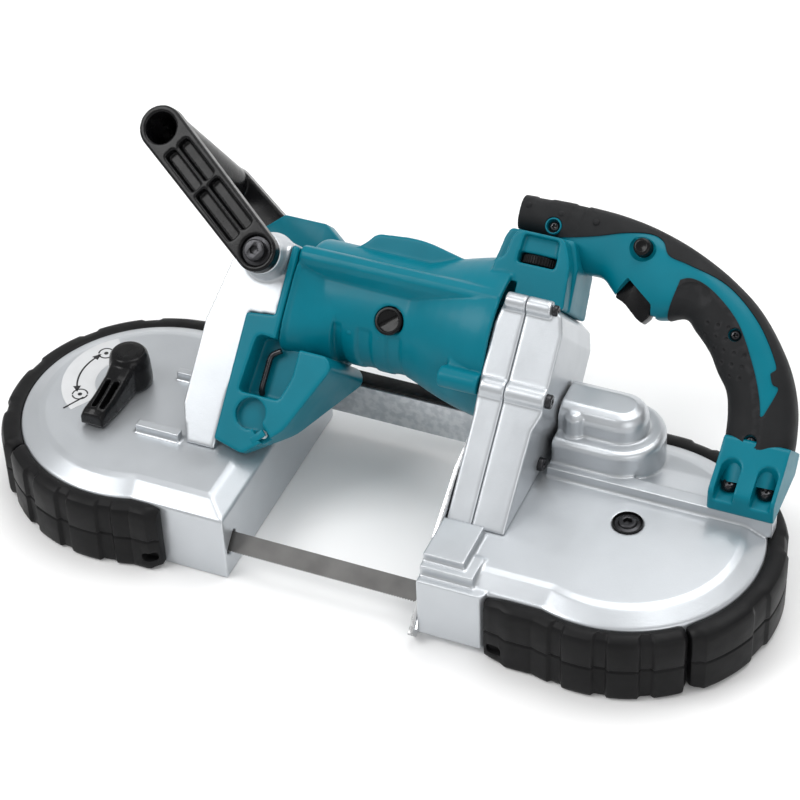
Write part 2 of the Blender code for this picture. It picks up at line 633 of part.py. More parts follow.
def battery_parts():
    line = [(-135, 70), (-84, 70), (-84, 122), (-78, 136), (-92, 146), (-122, 146), (-135, 134)]
    block = add("battery_mount", prism(line, -53.5, -38.3, work()), "teal")
    cut(block, box((-300, -200, -200), (0, 200, CROWN_Z + GAP), level()))
    cut(block, turned([(3.6, -60), (3.6, -30)], work(-100.5, 112), 12))
    rail = add("terminal_block", box((-130, 74, -58), (-88, 95, -53.8), work()), "black")
    for x in (-128, -94):
        fuse(rail, box((x, 75, -61), (x + 4, 94, -57), work()))


# --- handles ------------------------------------------------------------------------------------
def offset(points, distance):
    """Move a closed anticlockwise outline inwards by a distance."""
    out = []
    count = len(points)
    for i in range(count):
        before, here, after = (Vector(points[(i + k) % count]) for k in (-1, 0, 1))
        first = (here - before).normalized()
        second = (after - here).normalized()
        normal = Vector((-first.y - second.y, first.x + second.x)).normalized()
        lean = max(0.5, normal.dot(Vector((-first.y, first.x))))
        out.append(tuple(here + normal * (distance / lean)))
    return out


def handle_outline():
    """D handle in the work plane, anticlockwise from its foot's outer corner."""
    outer = [(246, 12), (246, 70), (243, 90), (236, 112), (224, 135), (206, 155), (184, 170),
             (156, 181), (130, 188), (108, 190), (80, 191), (46, 191), (41.5, 184), (41.5, 166)]
    inner = [(88, 166), (94, 151), (104, 148), (114, 138), (140, 131), (152, 134), (160, 136),
             (172, 128), (186, 113), (197, 97), (202, 84), (204, 60), (205, 12)]
    return outer + inner


def handle_parts():
    line = handle_outline()
    rings_at = [(0.15, 0), (9, 0), (13, 1.8), (15.8, 4.5), (HANDLE_HALF, 9)]
    halves = []
    for name, out in (("front", 1), ("rear", -1)):
        rings = [[(x, v, out * height) for x, v in offset(line, inset)] for height, inset in rings_at]
        half = add("handle_%s_half" % name, loft(rings, work(0, 0, HANDLE_N)), "teal")
        halves.append(half)
    front, rear = halves
    notch = [(113, 115), (114, 139), (122, 152), (140, 139), (140, 115)]
    side = level() @ Matrix(((0, 0, 1, 0), (1, 0, 0, 0), (0, 1, 0, 0), (0, 0, 0, 1)))
    fuse(front, prism([(21, 50), (40.2, 62.3), (62, 84), (46, 94), (21, 81)], 204.5, 246.5, side))
    fuse(rear, prism([(41.2, 62.3), (66, 50), (86, 84), (76, 98), (63, 84.2)], 204.5, 246.5, side))
    for half in halves:
        cut(half, box((190, -60, 20), (260, 120, 62.3), level()))
        cut(half, box((110, 120, HANDLE_N - 6.8), (144, 163, HANDLE_N + 6.8), work()))
        cut(half, box((101, 152, HANDLE_N - 9), (116, 171, HANDLE_N + 9), work()))
        cut(half, turned([(6, -60), (6, 20)], work(127, 172), 20))
        cut(half, prism(notch, -60, 20, work()))
    for i, x in enumerate((214, 238)):
        cut(front, turned([(6, 72), (6, 120)], level(x, 30), 16))
        add("foot_screw_%d" % (i + 1), turned([(5, 72.4), (5, 76), (3.5, 77.5)], level(x, 30), 16),
            "dark_steel")
    trigger = [(115, 156), (115, 139), (121, 137), (131, 129), (135, 127), (139, 132), (139, 156)]
    add("trigger", prism(trigger, -6, 6, work(0, 0, HANDLE_N)), "black", work(127, 140, HANDLE_N))
    add("lock_button", turned([(5.2, -16.5), (5.6, -15.5), (5.6, 19.5), (5, 21)], work(127, 172, HANDLE_N),
                              20), "black", work(127, 172, HANDLE_N))
    body = box((101.5, 152.5, -8.5), (109.5, 170.5, 8.5), work(0, 0, HANDLE_N))
    add("switch_body", body, "black")


def capsule(start, end, r0, r1, steps):
    """Outline of two round ends of different size joined by straight sides."""
    heading = math.degrees(math.atan2(end[1] - start[1], end[0] - start[0]))
    far = arc(r1, heading - 90, heading + 90, steps, *end)
    near = arc(r0, heading + 90, heading + 270, steps, *start)
    return far + near


def front_handle():
    bolt, near_end, far_end = (-100.5, 112), (-184, 174.5), (-173, 158)
    rings = []
    for n, (x, v) in ((50, near_end), (-60, far_end)):
        rings.append([(px, pv, n) for px, pv in circle(14.2, 20, x, v)])
    handle = add("front_handle", loft(rings, work()), "black")
    fuse(handle, prism(capsule(bolt, near_end, 13.5, 14.8, 8), 40.5, 50.5, work()))
    fuse(handle, prism(capsule(bolt, far_end, 13.5, 14.8, 8), -66, -54, work()))
    rings = []
    for n, (x, v) in ((55, near_end), (-70, far_end)):
        rings.append([(px, pv, n) for px, pv in circle(10.4, 20, x, v)])
    cut(handle, loft(rings, work()))
    cut(handle, turned([(3.6, -80), (3.6, 60)], work(*bolt, 0), 12))
    cut(handle, turned([(9.5, 46), (9.5, 60)], work(*bolt, 0), 20))
    length = math.dist(bolt, near_end)
    turn = math.atan2(near_end[1] - bolt[1], near_end[0] - bolt[0])
    arm = work(*bolt, 0) @ Matrix.Rotation(turn, 4, "Z")
    for low in (-9.5, 1.2):
        cut(handle, box((17, low, 44), (length - 17, low + 8.3, 60), arm))
    head = [(3.3, 4), (3.3, 46), (8, 46.3), (8, 52.5), (6.8, 53.5)]
    bolt_piece = add("handle_bolt_front", turned(head, work(*bolt, 0), 20), "dark_steel")
    cut(bolt_piece, prism(circle(3.4, 6), 49, 60, work(*bolt, 0)))
    tail = [(6.8, -73), (8, -72), (8, -66.3), (3.3, -66), (3.3, -6)]
    add("handle_bolt_rear", turned(tail, work(*bolt, 0), 20), "dark_steel")


def build():
    clear_scene()
    idler_housing()
    drive_housing()
    rear_bar()
    idler_arm()
    gear_case()
    drive_train()
    wheel_pieces()
    blade()
    tension_parts()
    guides()
    stopper_plate()
    bumpers()
    motor_parts()
    side_block()
    battery_parts()
    handle_parts()
    front_handle()


build()
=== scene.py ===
"""Looks of the cordless band saw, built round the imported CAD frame.

Lengths are in millimetres until a mesh is made. level() is the upright frame of the wheel plane,
and work() the tilted frame of the motor, the handles and the cut: x, v up the slope, n out of it.
"""
import json
import math

import bmesh
import bpy
from mathutils import Matrix, Vector


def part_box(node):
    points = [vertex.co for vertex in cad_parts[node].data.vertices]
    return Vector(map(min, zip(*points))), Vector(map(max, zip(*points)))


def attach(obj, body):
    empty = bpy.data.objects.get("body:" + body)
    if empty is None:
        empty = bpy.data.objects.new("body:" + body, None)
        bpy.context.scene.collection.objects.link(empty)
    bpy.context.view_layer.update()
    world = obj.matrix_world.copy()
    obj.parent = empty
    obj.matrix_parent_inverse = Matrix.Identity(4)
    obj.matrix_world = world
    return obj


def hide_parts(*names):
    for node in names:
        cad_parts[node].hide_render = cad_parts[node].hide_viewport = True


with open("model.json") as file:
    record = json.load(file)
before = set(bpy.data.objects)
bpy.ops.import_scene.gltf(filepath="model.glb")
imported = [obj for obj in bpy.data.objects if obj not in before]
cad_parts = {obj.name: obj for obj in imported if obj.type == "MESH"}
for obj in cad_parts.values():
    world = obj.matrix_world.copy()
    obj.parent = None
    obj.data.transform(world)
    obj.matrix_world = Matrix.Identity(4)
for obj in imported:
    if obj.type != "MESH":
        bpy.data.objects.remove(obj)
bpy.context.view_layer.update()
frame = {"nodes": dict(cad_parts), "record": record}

MM = 0.001
JOINTS = {joint["name"]: joint for joint in frame["record"]["behaviour"]["joints"]}


def joint_point(name):
    return Vector(JOINTS[name]["pos_m"]) / MM


def node_box(name):
    low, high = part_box(name)
    return low / MM, high / MM


SLOPE = Vector(JOINTS["stopper_slide"]["axis"])
TILT = math.atan2(SLOPE.z, SLOPE.y)
DRIVE = joint_point("drive_wheel_spin")
SHIFT_Y = DRIVE.y
WHEEL_X = DRIVE.x
DECK = node_box("rim_drive")[1].z
RIM_R = node_box("rim_drive")[1].x - WHEEL_X
DISC_R = RIM_R - 13.5
THROAT_LEFT = node_box("idler_housing")[1].x
THROAT_RIGHT = node_box("drive_housing")[0].x
GAP = 0.3


# --- frames ---
def spin(angle, axis="Z"):
    return Matrix.Rotation(math.radians(angle), 4, axis)


def level(x=0.0, y=0.0, z=0.0):
    return Matrix.Translation((x, y + SHIFT_Y, z))


def work(x=0.0, v=0.0, n=0.0):
    return level(0, 0, DECK) @ Matrix.Rotation(TILT, 4, "X") @ Matrix.Translation((x, v, n))


def along_x(base):
    """The same frame with its Z axis turned to lie along X."""
    return base @ spin(90, "Y")


def along_v(base):
    """The same frame with its Z axis turned to lie along its Y axis."""
    return base @ spin(-90, "X")


FACING_X = Matrix(((0, 0, 1, 0), (1, 0, 0, 0), (0, 1, 0, 0), (0, 0, 0, 1)))
FACING_FRONT = Matrix(((1, 0, 0, 0), (0, 0, -1, 0), (0, 1, 0, 0), (0, 0, 0, 1)))


def side():
    """Frame whose first two axes are the upright frame's y and z, and whose third is x."""
    return level() @ FACING_X


MOTOR = work().inverted() @ joint_point("motor_spin")
LEVER = joint_point("tension_lever_turn") - Vector((0, SHIFT_Y, 0))


# --- meshes ---
def loft(rings, base, closed=False):
    """Skin a list of rings, each a list of (x, y, z); the ends are capped unless it is closed."""
    mesh = bmesh.new()
    rows = [[mesh.verts.new(base @ Vector(p) * MM) for p in ring] for ring in rings]
    pairs = list(zip(rows, rows[1:]))
    if closed:
        pairs.append((rows[-1], rows[0]))
    else:
        mesh.faces.new(rows[0][::-1])
        mesh.faces.new(rows[-1])
    for low, high in pairs:
        for i in range(len(low)):
            j = (i + 1) % len(low)
            mesh.faces.new((low[i], low[j], high[j], high[i]))
    bmesh.ops.recalc_face_normals(mesh, faces=mesh.faces)
    return mesh


def ring(outline, z):
    return [(x, y, z) for x, y in outline]


def prism(outline, low, high, base):
    return loft([ring(outline, low), ring(outline, high)], base)


def box(low, high, base):
    (x0, y0, z0), (x1, y1, z1) = low, high
    return prism([(x0, y0), (x1, y0), (x1, y1), (x0, y1)], z0, z1, base)


def circle(radius, steps, x=0.0, y=0.0):
    turn = math.tau / steps
    return [(x + radius * math.cos(i * turn), y + radius * math.sin(i * turn)) for i in range(steps)]


def arc(radius, start, end, steps, x=0.0, y=0.0):
    out = []
    for i in range(steps + 1):
        a = math.radians(start + (end - start) * i / steps)
        out.append((x + radius * math.cos(a), y + radius * math.sin(a)))
    return out


def turned(profile, base, steps=48):
    """Solid of revolution from (radius, height) pairs."""
    return loft([ring(circle(r, steps), z) for r, z in profile], base)


def revolve(section, base, steps=64):
    """Ring with a closed section of (radius, height) pairs."""
    turn = math.tau / steps
    rings = [[(r * math.cos(i * turn), r * math.sin(i * turn), z) for r, z in section]
             for i in range(steps)]
    return loft(rings, base, closed=True)


def rounded(points, radius, steps=4):
    """Round the corners of a closed outline. radius is one number or one per corner."""
    out = []
    count = len(points)
    for i in range(count):
        r = radius[i] if isinstance(radius, (list, tuple)) else radius
        before, here, after = (Vector(points[(i + k) % count]) for k in (-1, 0, 1))
        a, b = (before - here), (after - here)
        reach = min(r, a.length * 0.48, b.length * 0.48)
        start, end = here + a.normalized() * reach, here + b.normalized() * reach
        for k in range(steps + 1):
            t = k / steps
            out.append(tuple(start * (1 - t) ** 2 + here * 2 * t * (1 - t) + end * t ** 2))
    return out


def join(*meshes):
    """One bmesh out of several."""
    out = meshes[0]
    for other in meshes[1:]:
        data = bpy.data.meshes.new("part")
        other.to_mesh(data)
        other.free()
        out.from_mesh(data)
        bpy.data.meshes.remove(data)
    return out


# --- pieces ---
def new_object(name, mesh):
    data = bpy.data.meshes.new(name)
    mesh.to_mesh(data)
    mesh.free()
    made = bpy.data.objects.new(name, data)
    bpy.context.scene.collection.objects.link(made)
    return made


def bake(obj):
    """Apply the object's modifiers."""
    graph = bpy.context.evaluated_depsgraph_get()
    data = bpy.data.meshes.new_from_object(obj.evaluated_get(graph))
    obj.modifiers.clear()
    obj.data = data


def carve(obj, mesh, operation="DIFFERENCE"):
    tool = new_object("tool", mesh)
    change = obj.modifiers.new("carve", "BOOLEAN")
    change.operation = operation
    change.solver = "EXACT"
    change.object = tool
    bake(obj)
    bpy.data.objects.remove(tool)


def weld(obj, mesh):
    carve(obj, mesh, "UNION")


def bore(obj, radius, low, high, base, steps):
    """Round hole between two heights of the base."""
    carve(obj, turned([(radius, low), (radius, high)], base, steps))


def soften(obj, base, voxel=1.1, rounds=5):
    """Cast look: even mesh in the base's own axes, then smoothed so that edges get a radius."""
    data = obj.data
    data.transform(Matrix.Scale(1 / MM, 4))
    data.transform(base.inverted())
    change = obj.modifiers.new("remesh", "REMESH")
    change.mode = "VOXEL"
    change.voxel_size = voxel
    smooth = obj.modifiers.new("smooth", "SMOOTH")
    smooth.factor = 0.5
    smooth.iterations = rounds
    bake(obj)
    obj.data.transform(base)
    obj.data.transform(Matrix.Scale(MM, 4))
    obj.data.shade_smooth()
    obj.data.update()


def bevel(obj, width, segments=3, angle=30):
    change = obj.modifiers.new("bevel", "BEVEL")
    change.width = width * MM
    change.segments = segments
    change.limit_method = "ANGLE"
    change.angle_limit = math.radians(angle)
    change.use_clamp_overlap = True
    bake(obj)
    shade(obj)


def shade(obj, angle=40):
    obj.data.shade_smooth()
    obj.data.set_sharp_from_angle(angle=math.radians(angle))


def finish(obj, surface, replaces=(), body="chassis"):
    obj.data.materials.clear()
    obj.data.materials.append(SURFACES[surface])
    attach(obj, body)
    if replaces:
        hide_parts(*replaces)
    return obj


# --- surfaces ---
class Surface:
    """A Principled material built from small node recipes in object space."""

    def __init__(self, name, colour, roughness, metallic=0.0, coat=0.0):
        self.material = bpy.data.materials.new(name)
        self.material.use_nodes = True
        self.tree = self.material.node_tree
        self.shader = self.tree.nodes["Principled BSDF"]
        self.shader.inputs["Metallic"].default_value = metallic
        self.shader.inputs["Coat Weight"].default_value = coat
        self.shader.inputs["Coat Roughness"].default_value = 0.12
        self.shader.inputs["Specular IOR Level"].default_value = 0.5 if metallic else 0.15
        self.colour = (*colour, 1.0)
        self.roughness = roughness
        self.place = self.node("ShaderNodeTexCoord").outputs["Object"]

    def node(self, kind, **values):
        made = self.tree.nodes.new(kind)
        for key, value in values.items():
            setattr(made, key, value)
        return made

    def link(self, source, target):
        self.tree.links.new(source, target)

    def noise(self, scale, detail=3.0, stretch=None):
        made = self.node("ShaderNodeTexNoise")
        made.inputs["Scale"].default_value = scale
        made.inputs["Detail"].default_value = detail
        source = self.place
        if stretch:
            mapping = self.node("ShaderNodeMapping")
            mapping.inputs["Scale"].default_value = stretch
            self.link(source, mapping.inputs["Vector"])
            source = mapping.outputs["Vector"]
        self.link(source, made.inputs["Vector"])
        return made.outputs["Fac"]

    def spread(self, value, low, high, from_low=0.3, from_high=0.7):
        made = self.node("ShaderNodeMapRange")
        made.inputs["From Min"].default_value = from_low
        made.inputs["From Max"].default_value = from_high
        made.inputs["To Min"].default_value = low
        made.inputs["To Max"].default_value = high
        self.link(value, made.inputs["Value"])
        return made.outputs["Result"]

    def tint(self, factor, first, second):
        made = self.node("ShaderNodeMix", data_type="RGBA")
        self.link(factor, made.inputs["Factor"])
        for socket, value in (("A", first), ("B", second)):
            target = [s for s in made.inputs if s.name == socket and s.type == "RGBA"][0]
            if isinstance(value, tuple):
                target.default_value = value
            else:
                self.link(value, target)
        return [s for s in made.outputs if s.type == "RGBA"][0]

    def paint(self, spread=0.08, scale=40.0, wear=None, wear_amount=0.5, painted_crevice_shade=None):
        """Base colour with slow variation, worn outer edges and painted shade darkening the corners and
        hollows.
        """
        dark = tuple(c * (1 - spread) for c in self.colour[:3]) + (1.0,)
        light = tuple(min(1.0, c * (1 + spread)) for c in self.colour[:3]) + (1.0,)
        base = self.tint(self.spread(self.noise(scale), 0, 1), dark, light)
        point = self.node("ShaderNodeNewGeometry").outputs["Pointiness"]
        # Painted shade: hollows (low pointiness) are darkened towards the given shade colour, standing
        # in for light that does not reach them.
        if painted_crevice_shade:
            base = self.tint(self.spread(point, 0.45, 0, 0.44, 0.495), base, (*painted_crevice_shade, 1.0))
        if wear:
            edge = self.node("ShaderNodeMath", operation="MULTIPLY")
            self.link(self.spread(point, 0, wear_amount, 0.52, 0.6), edge.inputs[0])
            self.link(self.spread(self.noise(180), 0, 1, 0.42, 0.6), edge.inputs[1])
            base = self.tint(edge.outputs["Value"], base, (*wear, 1.0))
        self.link(base, self.shader.inputs["Base Color"])

    def gloss(self, spread, scale):
        """Roughness that varies over the surface."""
        low, high = self.roughness - spread, self.roughness + spread
        self.link(self.spread(self.noise(scale, 4.0), low, high), self.shader.inputs["Roughness"])

    def grain(self, scale, strength, distance=0.0001, stretch=None, second=None):
        """Fine bump, with a second and coarser one on top if asked for."""
        bump = self.node("ShaderNodeBump")
        bump.inputs["Strength"].default_value = strength
        bump.inputs["Distance"].default_value = distance
        height = self.noise(scale, 2.0, stretch)
        if second:
            both = self.node("ShaderNodeMath", operation="ADD")
            self.link(height, both.inputs[0])
            self.link(self.noise(second, 2.0), both.inputs[1])
            height = both.outputs["Value"]
        self.link(height, bump.inputs["Height"])
        self.link(bump.outputs["Normal"], self.shader.inputs["Normal"])


def make_surfaces():
    made = {}

    def add(name, *args, **keys):
        surface = Surface(name, *args, **keys)
        made[name] = surface.material
        return surface

    # The darker colour handed to paint() for each surface's hollows is painted shade.
    s = add("silver", (0.53, 0.555, 0.58), 0.34, metallic=0.7)
    s.paint(0.03, 25, wear=(0.82, 0.83, 0.84), painted_crevice_shade=(0.3, 0.31, 0.32))
    s.gloss(0.05, 45)
    s.grain(900, 0.35, 0.00008, second=350)
    s = add("teal", (0.0, 0.15, 0.205), 0.36, coat=0.04)
    s.paint(0.06, 30, wear=(0.01, 0.2, 0.27), wear_amount=0.6, painted_crevice_shade=(0.0, 0.05, 0.07))
    s.gloss(0.06, 50)
    s.grain(1400, 0.3, 0.00006)
    s = add("black", (0.004, 0.004, 0.0045), 0.26, coat=0.1)
    s.paint(0.15, 60, wear=(0.02, 0.02, 0.021), painted_crevice_shade=(0.002, 0.002, 0.002))
    s.gloss(0.07, 80)
    s.grain(1200, 0.3, 0.00006)
    s = add("rubber", (0.006, 0.006, 0.0065), 0.46)
    s.paint(0.2, 50, wear=(0.02, 0.02, 0.02), painted_crevice_shade=(0.003, 0.003, 0.003))
    s.gloss(0.08, 70)
    s.grain(1500, 0.5, 0.0001, second=300)
    s = add("grip", (0.014, 0.0145, 0.0155), 0.6)
    s.paint(0.12, 60, wear=(0.03, 0.03, 0.032), painted_crevice_shade=(0.007, 0.007, 0.0075))
    s.gloss(0.06, 90)
    s.grain(2200, 0.6, 0.0001)
    s = add("steel", (0.5, 0.5, 0.51), 0.32, metallic=0.9)
    s.paint(0.06, 60)
    s.gloss(0.06, 120)
    s.grain(600, 0.15, 0.00003)
    s = add("band", (0.16, 0.158, 0.155), 0.42, metallic=0.8)
    s.paint(0.14, 60)
    s.gloss(0.06, 120)
    s.grain(500, 0.15, 0.00003)
    s = add("zinc", (0.72, 0.73, 0.74), 0.3, metallic=1.0)
    s.paint(0.08, 120, painted_crevice_shade=(0.3, 0.3, 0.3))
    s.gloss(0.1, 200)
    s.grain(700, 0.3, 0.00005)
    s = add("dark_steel", (0.035, 0.035, 0.038), 0.3, metallic=0.8)
    s.paint(0.2, 100, wear=(0.14, 0.14, 0.14), wear_amount=0.3)
    s.gloss(0.08, 150)
    s.grain(1000, 0.3, 0.00005)
    s = add("copper", (0.62, 0.27, 0.13), 0.35, metallic=1.0)
    s.paint(0.15, 200)
    s.gloss(0.1, 200)
    s.grain(900, 0.6, 0.0002, stretch=(0.1, 1, 1))
    s = add("lens", (0.6, 0.68, 0.7), 0.15, coat=0.5)
    s.paint(0.05, 100)
    s.gloss(0.05, 100)
    s.grain(500, 0.1)
    s = add("label", (0.62, 0.63, 0.64), 0.42)
    s.paint(0.04, 60)
    s.gloss(0.05, 60)
    s.grain(1500, 0.15, 0.00003)
    s = add("ink", (0.03, 0.03, 0.032), 0.45)
    s.paint(0.1, 60)
    s.gloss(0.05, 60)
    s.grain(1500, 0.15, 0.00003)
    s = add("floor", (0.93, 0.93, 0.93), 0.6)
    s.paint(0.004, 3)
    return made


SURFACES = make_surfaces()


# --- wheel housings ---
FRONT_Y = -81.0                   # flat front beside the throat
CROWN = 55.0                      # raised middle of the top, and how far in it lies
INSET = 12.0
SHELL = 3.5
BEAM_Y = 57.17                    # middle of the gear bulge


def housing_outline(hand, inset, steps=84):
    """Round outline with a flat front and a flat throat side; hand is -1 for the idler's."""
    radius = DISC_R - inset
    front = FRONT_Y + inset
    meet = math.degrees(math.asin(front / radius))
    if hand < 0:
        throat = THROAT_LEFT - inset
        return (arc(radius, 90, 360 + meet, steps, -WHEEL_X)
                + [(throat, front), (throat, DISC_R - inset)])
    throat = THROAT_RIGHT + inset
    return (arc(radius, 180 - meet, 450, steps, WHEEL_X)
            + [(throat, DISC_R - inset), (throat, front)])


def housing_pan(name, hand):
    """The housing's outer shape as an object, and the mesh of the space inside it."""
    outside = ((0.3, 0.0), (DECK - 0.5, 0.0), (DECK + 0.8, 1.2), (CROWN - 1, INSET), (CROWN, INSET + 4))
    inside = ((-1.0, SHELL), (DECK - SHELL, SHELL), (CROWN - SHELL, INSET + SHELL))
    shape, hollow = [loft([ring(housing_outline(hand, inset), z) for z, inset in levels], level())
                     for levels in (outside, inside)]
    return new_object(name, shape), hollow


def idler_housing():
    pan, hollow = housing_pan("casting_idler", -1)
    weld(pan, box((-126, -14, 50), (-107, 2, 58), level()))
    weld(pan, box((-158, -30, 52), (-128, -24, 61), level()))
    weld(pan, box((-156, 26, 52), (-133, 31, 61), level()))
    carve(pan, hollow)
    for y in (-18.6, 15.6):
        weld(pan, box((-168, y, 38), (-146, y + 3, 52.5), level()))
    cut_slots(pan, THROAT_LEFT - SHELL / 2)
    carve(pan, box((-93, FRONT_Y + 1.4, 12), (THROAT_LEFT - SHELL, -70, 40), level()))
    bore(pan, 4.6, 45, 70, level(LEVER.x, LEVER.y), 32)
    soften(pan, level(), 1.0, 3)
    finish(pan, "silver", ["idler_housing"])


def cut_slots(pan, wall_x):
    """Passages for the rear bar and for the blade through the throat wall."""
    carve(pan, box((wall_x - 5, 73.6, 16), (wall_x + 5, 79.6, 38), level()))
    carve(pan, box((wall_x - 5, -75.5, 29), (wall_x + 5, -59.5, 35.4), work()))


def beam(radius, top, bottom, left, crown):
    """Half-round ended tier of the gear bulge with a rolled top edge."""
    x = joint_point("intermediate_spin").x
    rings = []
    for z, inset in ((bottom, 0), (top - crown, 0), (top - crown * 0.6, crown * 0.1),
                     (top - crown * 0.25, crown * 0.35), (top, crown * 0.9)):
        r = radius - inset
        outline = [(left, BEAM_Y - r)] + arc(r, -90, 90, 36, x, BEAM_Y) + [(left, BEAM_Y + r)]
        rings.append(ring(outline, z))
    return loft(rings, level())


def drive_housing():
    pan, hollow = housing_pan("casting_drive", 1)
    ridge = [(100.5, 23), (246, 23), (246, 33), (100.5, 33)]
    weld(pan, prism(ridge, 50, 62, level()))
    back = [(100.5, 32)] + arc(83.5, 22.5, 90, 24, WHEEL_X) + [(100.5, 83.5)]
    rings = [[(x, y, 44) for x, y in back], [(x, y, 60.5 - (y - 32) * 0.24) for x, y in back]]
    weld(pan, loft(rings, level()))
    weld(pan, beam(28, 79, 50, 101.5, 4))
    weld(pan, beam(17, 97, 60, 101.5, 9))
    weld(pan, turned([(6.5, 60), (6.5, 92), (3, 94.5)], level(112, BEAM_Y - 14.5), 32))
    block = [(THROAT_RIGHT, -86.5), (98, -86.5), (101, -83.5), (101, -60), (THROAT_RIGHT, -60)]
    weld(pan, prism(block, 5, 49, level()))
    weld(pan, box((THROAT_RIGHT, -80, 40), (92, -60, 56), level()))
    weld(pan, box((THROAT_RIGHT, -74, 40), (84, -40, 61), level()))
    carve(pan, hollow)
    carve(pan, beam(25, 76, 40, 105, 1))
    carve(pan, beam(14, 94, 58, 96, 1))
    carve(pan, box((61, -83, 8), (97, -70, 45), level()))
    cut_slots(pan, THROAT_RIGHT + SHELL / 2)
    bore(pan, 4.4, 45, 60, level(WHEEL_X, 0), 24)
    bore(pan, 9.5, 53, 60, level(WHEEL_X, 0), 40)
    soften(pan, level(), 1.0, 3)
    finish(pan, "silver", ["drive_housing"])


# --- rubber bumpers and rims ---
EDGE_R = DISC_R + GAP
BUMPER_DEPTH = 11
END_ROUND = 2.5 / 12


def ribbon(name, low, high, profile, path):
    """Rubber profile swept along a path of (point, outward direction); the ends are rounded off."""
    count = len(path)
    middle = (low + high) / 2
    rings = []
    for i, (point, out) in enumerate(path):
        end = min(i, count - 1 - i)
        share = 1.0 if end >= 3 else 1 - END_ROUND * (1 - end / 3) ** 2
        rings.append([(point.x + out.x * reach * share, point.y + out.y * reach * share,
                       middle + (z - middle) * (0.5 + 0.5 * share)) for reach, z in profile(i, count)])
    return new_object(name, loft(rings, level()))


def edge_path(centre_x, start, end, steps):
    """Points along the disc edge between two angles, each with its outward direction."""
    out = []
    for i in range(steps + 1):
        a = math.radians(start + (end - start) * i / steps)
        d = Vector((math.cos(a), math.sin(a)))
        out.append((Vector((centre_x, 0)) + d * EDGE_R, d))
    return out


def straight_run(x0, x1, y, facing, steps, first=1):
    return [(Vector((x0 + (x1 - x0) * i / steps, y)), Vector((0, facing)))
            for i in range(first, first + steps)]


def rim_profile(depth, z0, z1, pads, deep):
    """Section of the rubber as a function of the place along it; grooves part it into pads."""
    middle = (z0 + z1) / 2

    def profile(i, count):
        phase = (i * pads / count) % 1.0
        d = depth - (deep if phase < 0.14 or phase > 0.86 else 0)
        return [(0, z0), (d - 3, z0), (d - 0.8, z0 + 1.2), (d, z0 + 4), (d, middle - 1.2),
                (d - 0.9, middle - 0.5), (d - 0.9, middle + 0.5), (d, middle + 1.2), (d, z1 - 6),
                (d - 1.6, z1 - 2.2), (d - 5, z1 - 0.4), (3, z1), (0, z1 - 0.6)]
    return profile


def rubber_parts():
    front = FRONT_Y - GAP
    meet = math.degrees(math.asin(front / EDGE_R))
    front_z = DECK + 1
    rim = rim_profile(RIM_R - EDGE_R, 1, DECK, 5, 1.6)
    bumper = rim_profile(BUMPER_DEPTH, 0.2, front_z, 4, 2.2)
    turn_x = WHEEL_X - 25.6
    idler_rim = ribbon("rubber_rim_idler", 1, DECK, rim, edge_path(-WHEEL_X, 90.6, 221.2, 90))
    drive_rim = ribbon("rubber_rim_drive", 1, DECK, rim,
                       edge_path(WHEEL_X, -47.2, 90, 90) + straight_run(WHEEL_X, 112, EDGE_R, 1, 12))
    left = ribbon("rubber_front_idler", 0, front_z, bumper,
                  edge_path(-WHEEL_X, 222.3, 360 + meet, 66)
                  + straight_run(-turn_x, -116.2, front, -1, 7))
    right = ribbon("rubber_front_drive", 0, front_z, bumper,
                   straight_run(101.6, turn_x, front, -1, 7, 0)
                   + edge_path(WHEEL_X, 180 - meet, 311.7, 60))
    for x, obj in ((-122, left), (108.5, right)):
        hole_line = rounded([(x - 5, 8), (x + 5, 8), (x + 5, 15), (x - 5, 15)], 3.4, 6)
        carve(obj, prism(hole_line, 86, 100, level() @ FACING_FRONT))
    for obj, node in ((idler_rim, "rim_idler"), (drive_rim, "rim_drive"),
                      (left, "bumper_idler_front"), (right, "bumper_drive_front")):
        bevel(obj, 0.5, 2, 28)
        finish(obj, "rubber", [node])


# --- motor, its blocks and the gear case ---
MOTOR_R = 37.6                    # barrel; the bell at its end is wider
BRUSH_X, BRUSH_V = -13.5, 90
SEAM_X = 74                       # where the gear case meets its cover
LOW_BOSS = (64.5, 29)            # (v, n) of the screw bosses' axes
HIGH_BOSS = (119, 31.5)
CASE_LOW, CASE_FACE = -45, 32.2
COUNTER_DROP = 32                 # motor shaft to countershaft


def motor_rings():
    """Barrel with a flared bell; shallow bands are sunk into its lower front."""
    stations = [(-80, MOTOR_R - 4.4), (-79.2, MOTOR_R - 2.2), (-77.6, MOTOR_R - 0.6), (-75.5, MOTOR_R)]
    edges = (-54, -44, -34, -24, -14, -4)
    for edge in edges:
        stations += [(edge - 0.4, MOTOR_R), (edge + 0.4, MOTOR_R)]
    stations += [(-2, 38.0), (3, 39.6), (10, 42.3), (18, 45), (27, 47.6), (36, 49.8), (44, 51.2),
                 (50, 51.9), (56.2, 52)]
    rings = []
    for x, r in stations:
        sunk = any(low < x < high for low, high in zip(edges[::2], edges[1::2]))
        row = []
        for i in range(120):
            a = math.tau * i / 120
            low_front = math.sin(a) < -0.42 and math.cos(a) < 0.25
            reach = r - (1.1 if sunk and low_front else 0.0)
            row.append((reach * math.cos(a), reach * math.sin(a), x))
        rings.append(row)
    return rings


def motor_flange():
    """Wide shoulder between the arm and the barrel, blending from a soft rectangle to a circle."""
    rings = []
    for share in (0, 0.12, 0.3, 0.5, 0.7, 0.88, 1):
        x = -80 + 30 * share
        ease = share ** 0.45
        power = 5 - 3 * ease
        half_v, half_n = 32 + 4.6 * ease, 33 + 3.6 * ease
        mid_v, mid_n = 90 * ease + 89 * (1 - ease), MOTOR.z * ease - 3 * (1 - ease)
        rings.append([(x, mid_v + half_v * math.copysign(abs(c) ** (2 / power), c),
                       mid_n + half_n * math.copysign(abs(s) ** (2 / power), s))
                      for c, s in circle(1, 96)])
    return loft(rings, work())


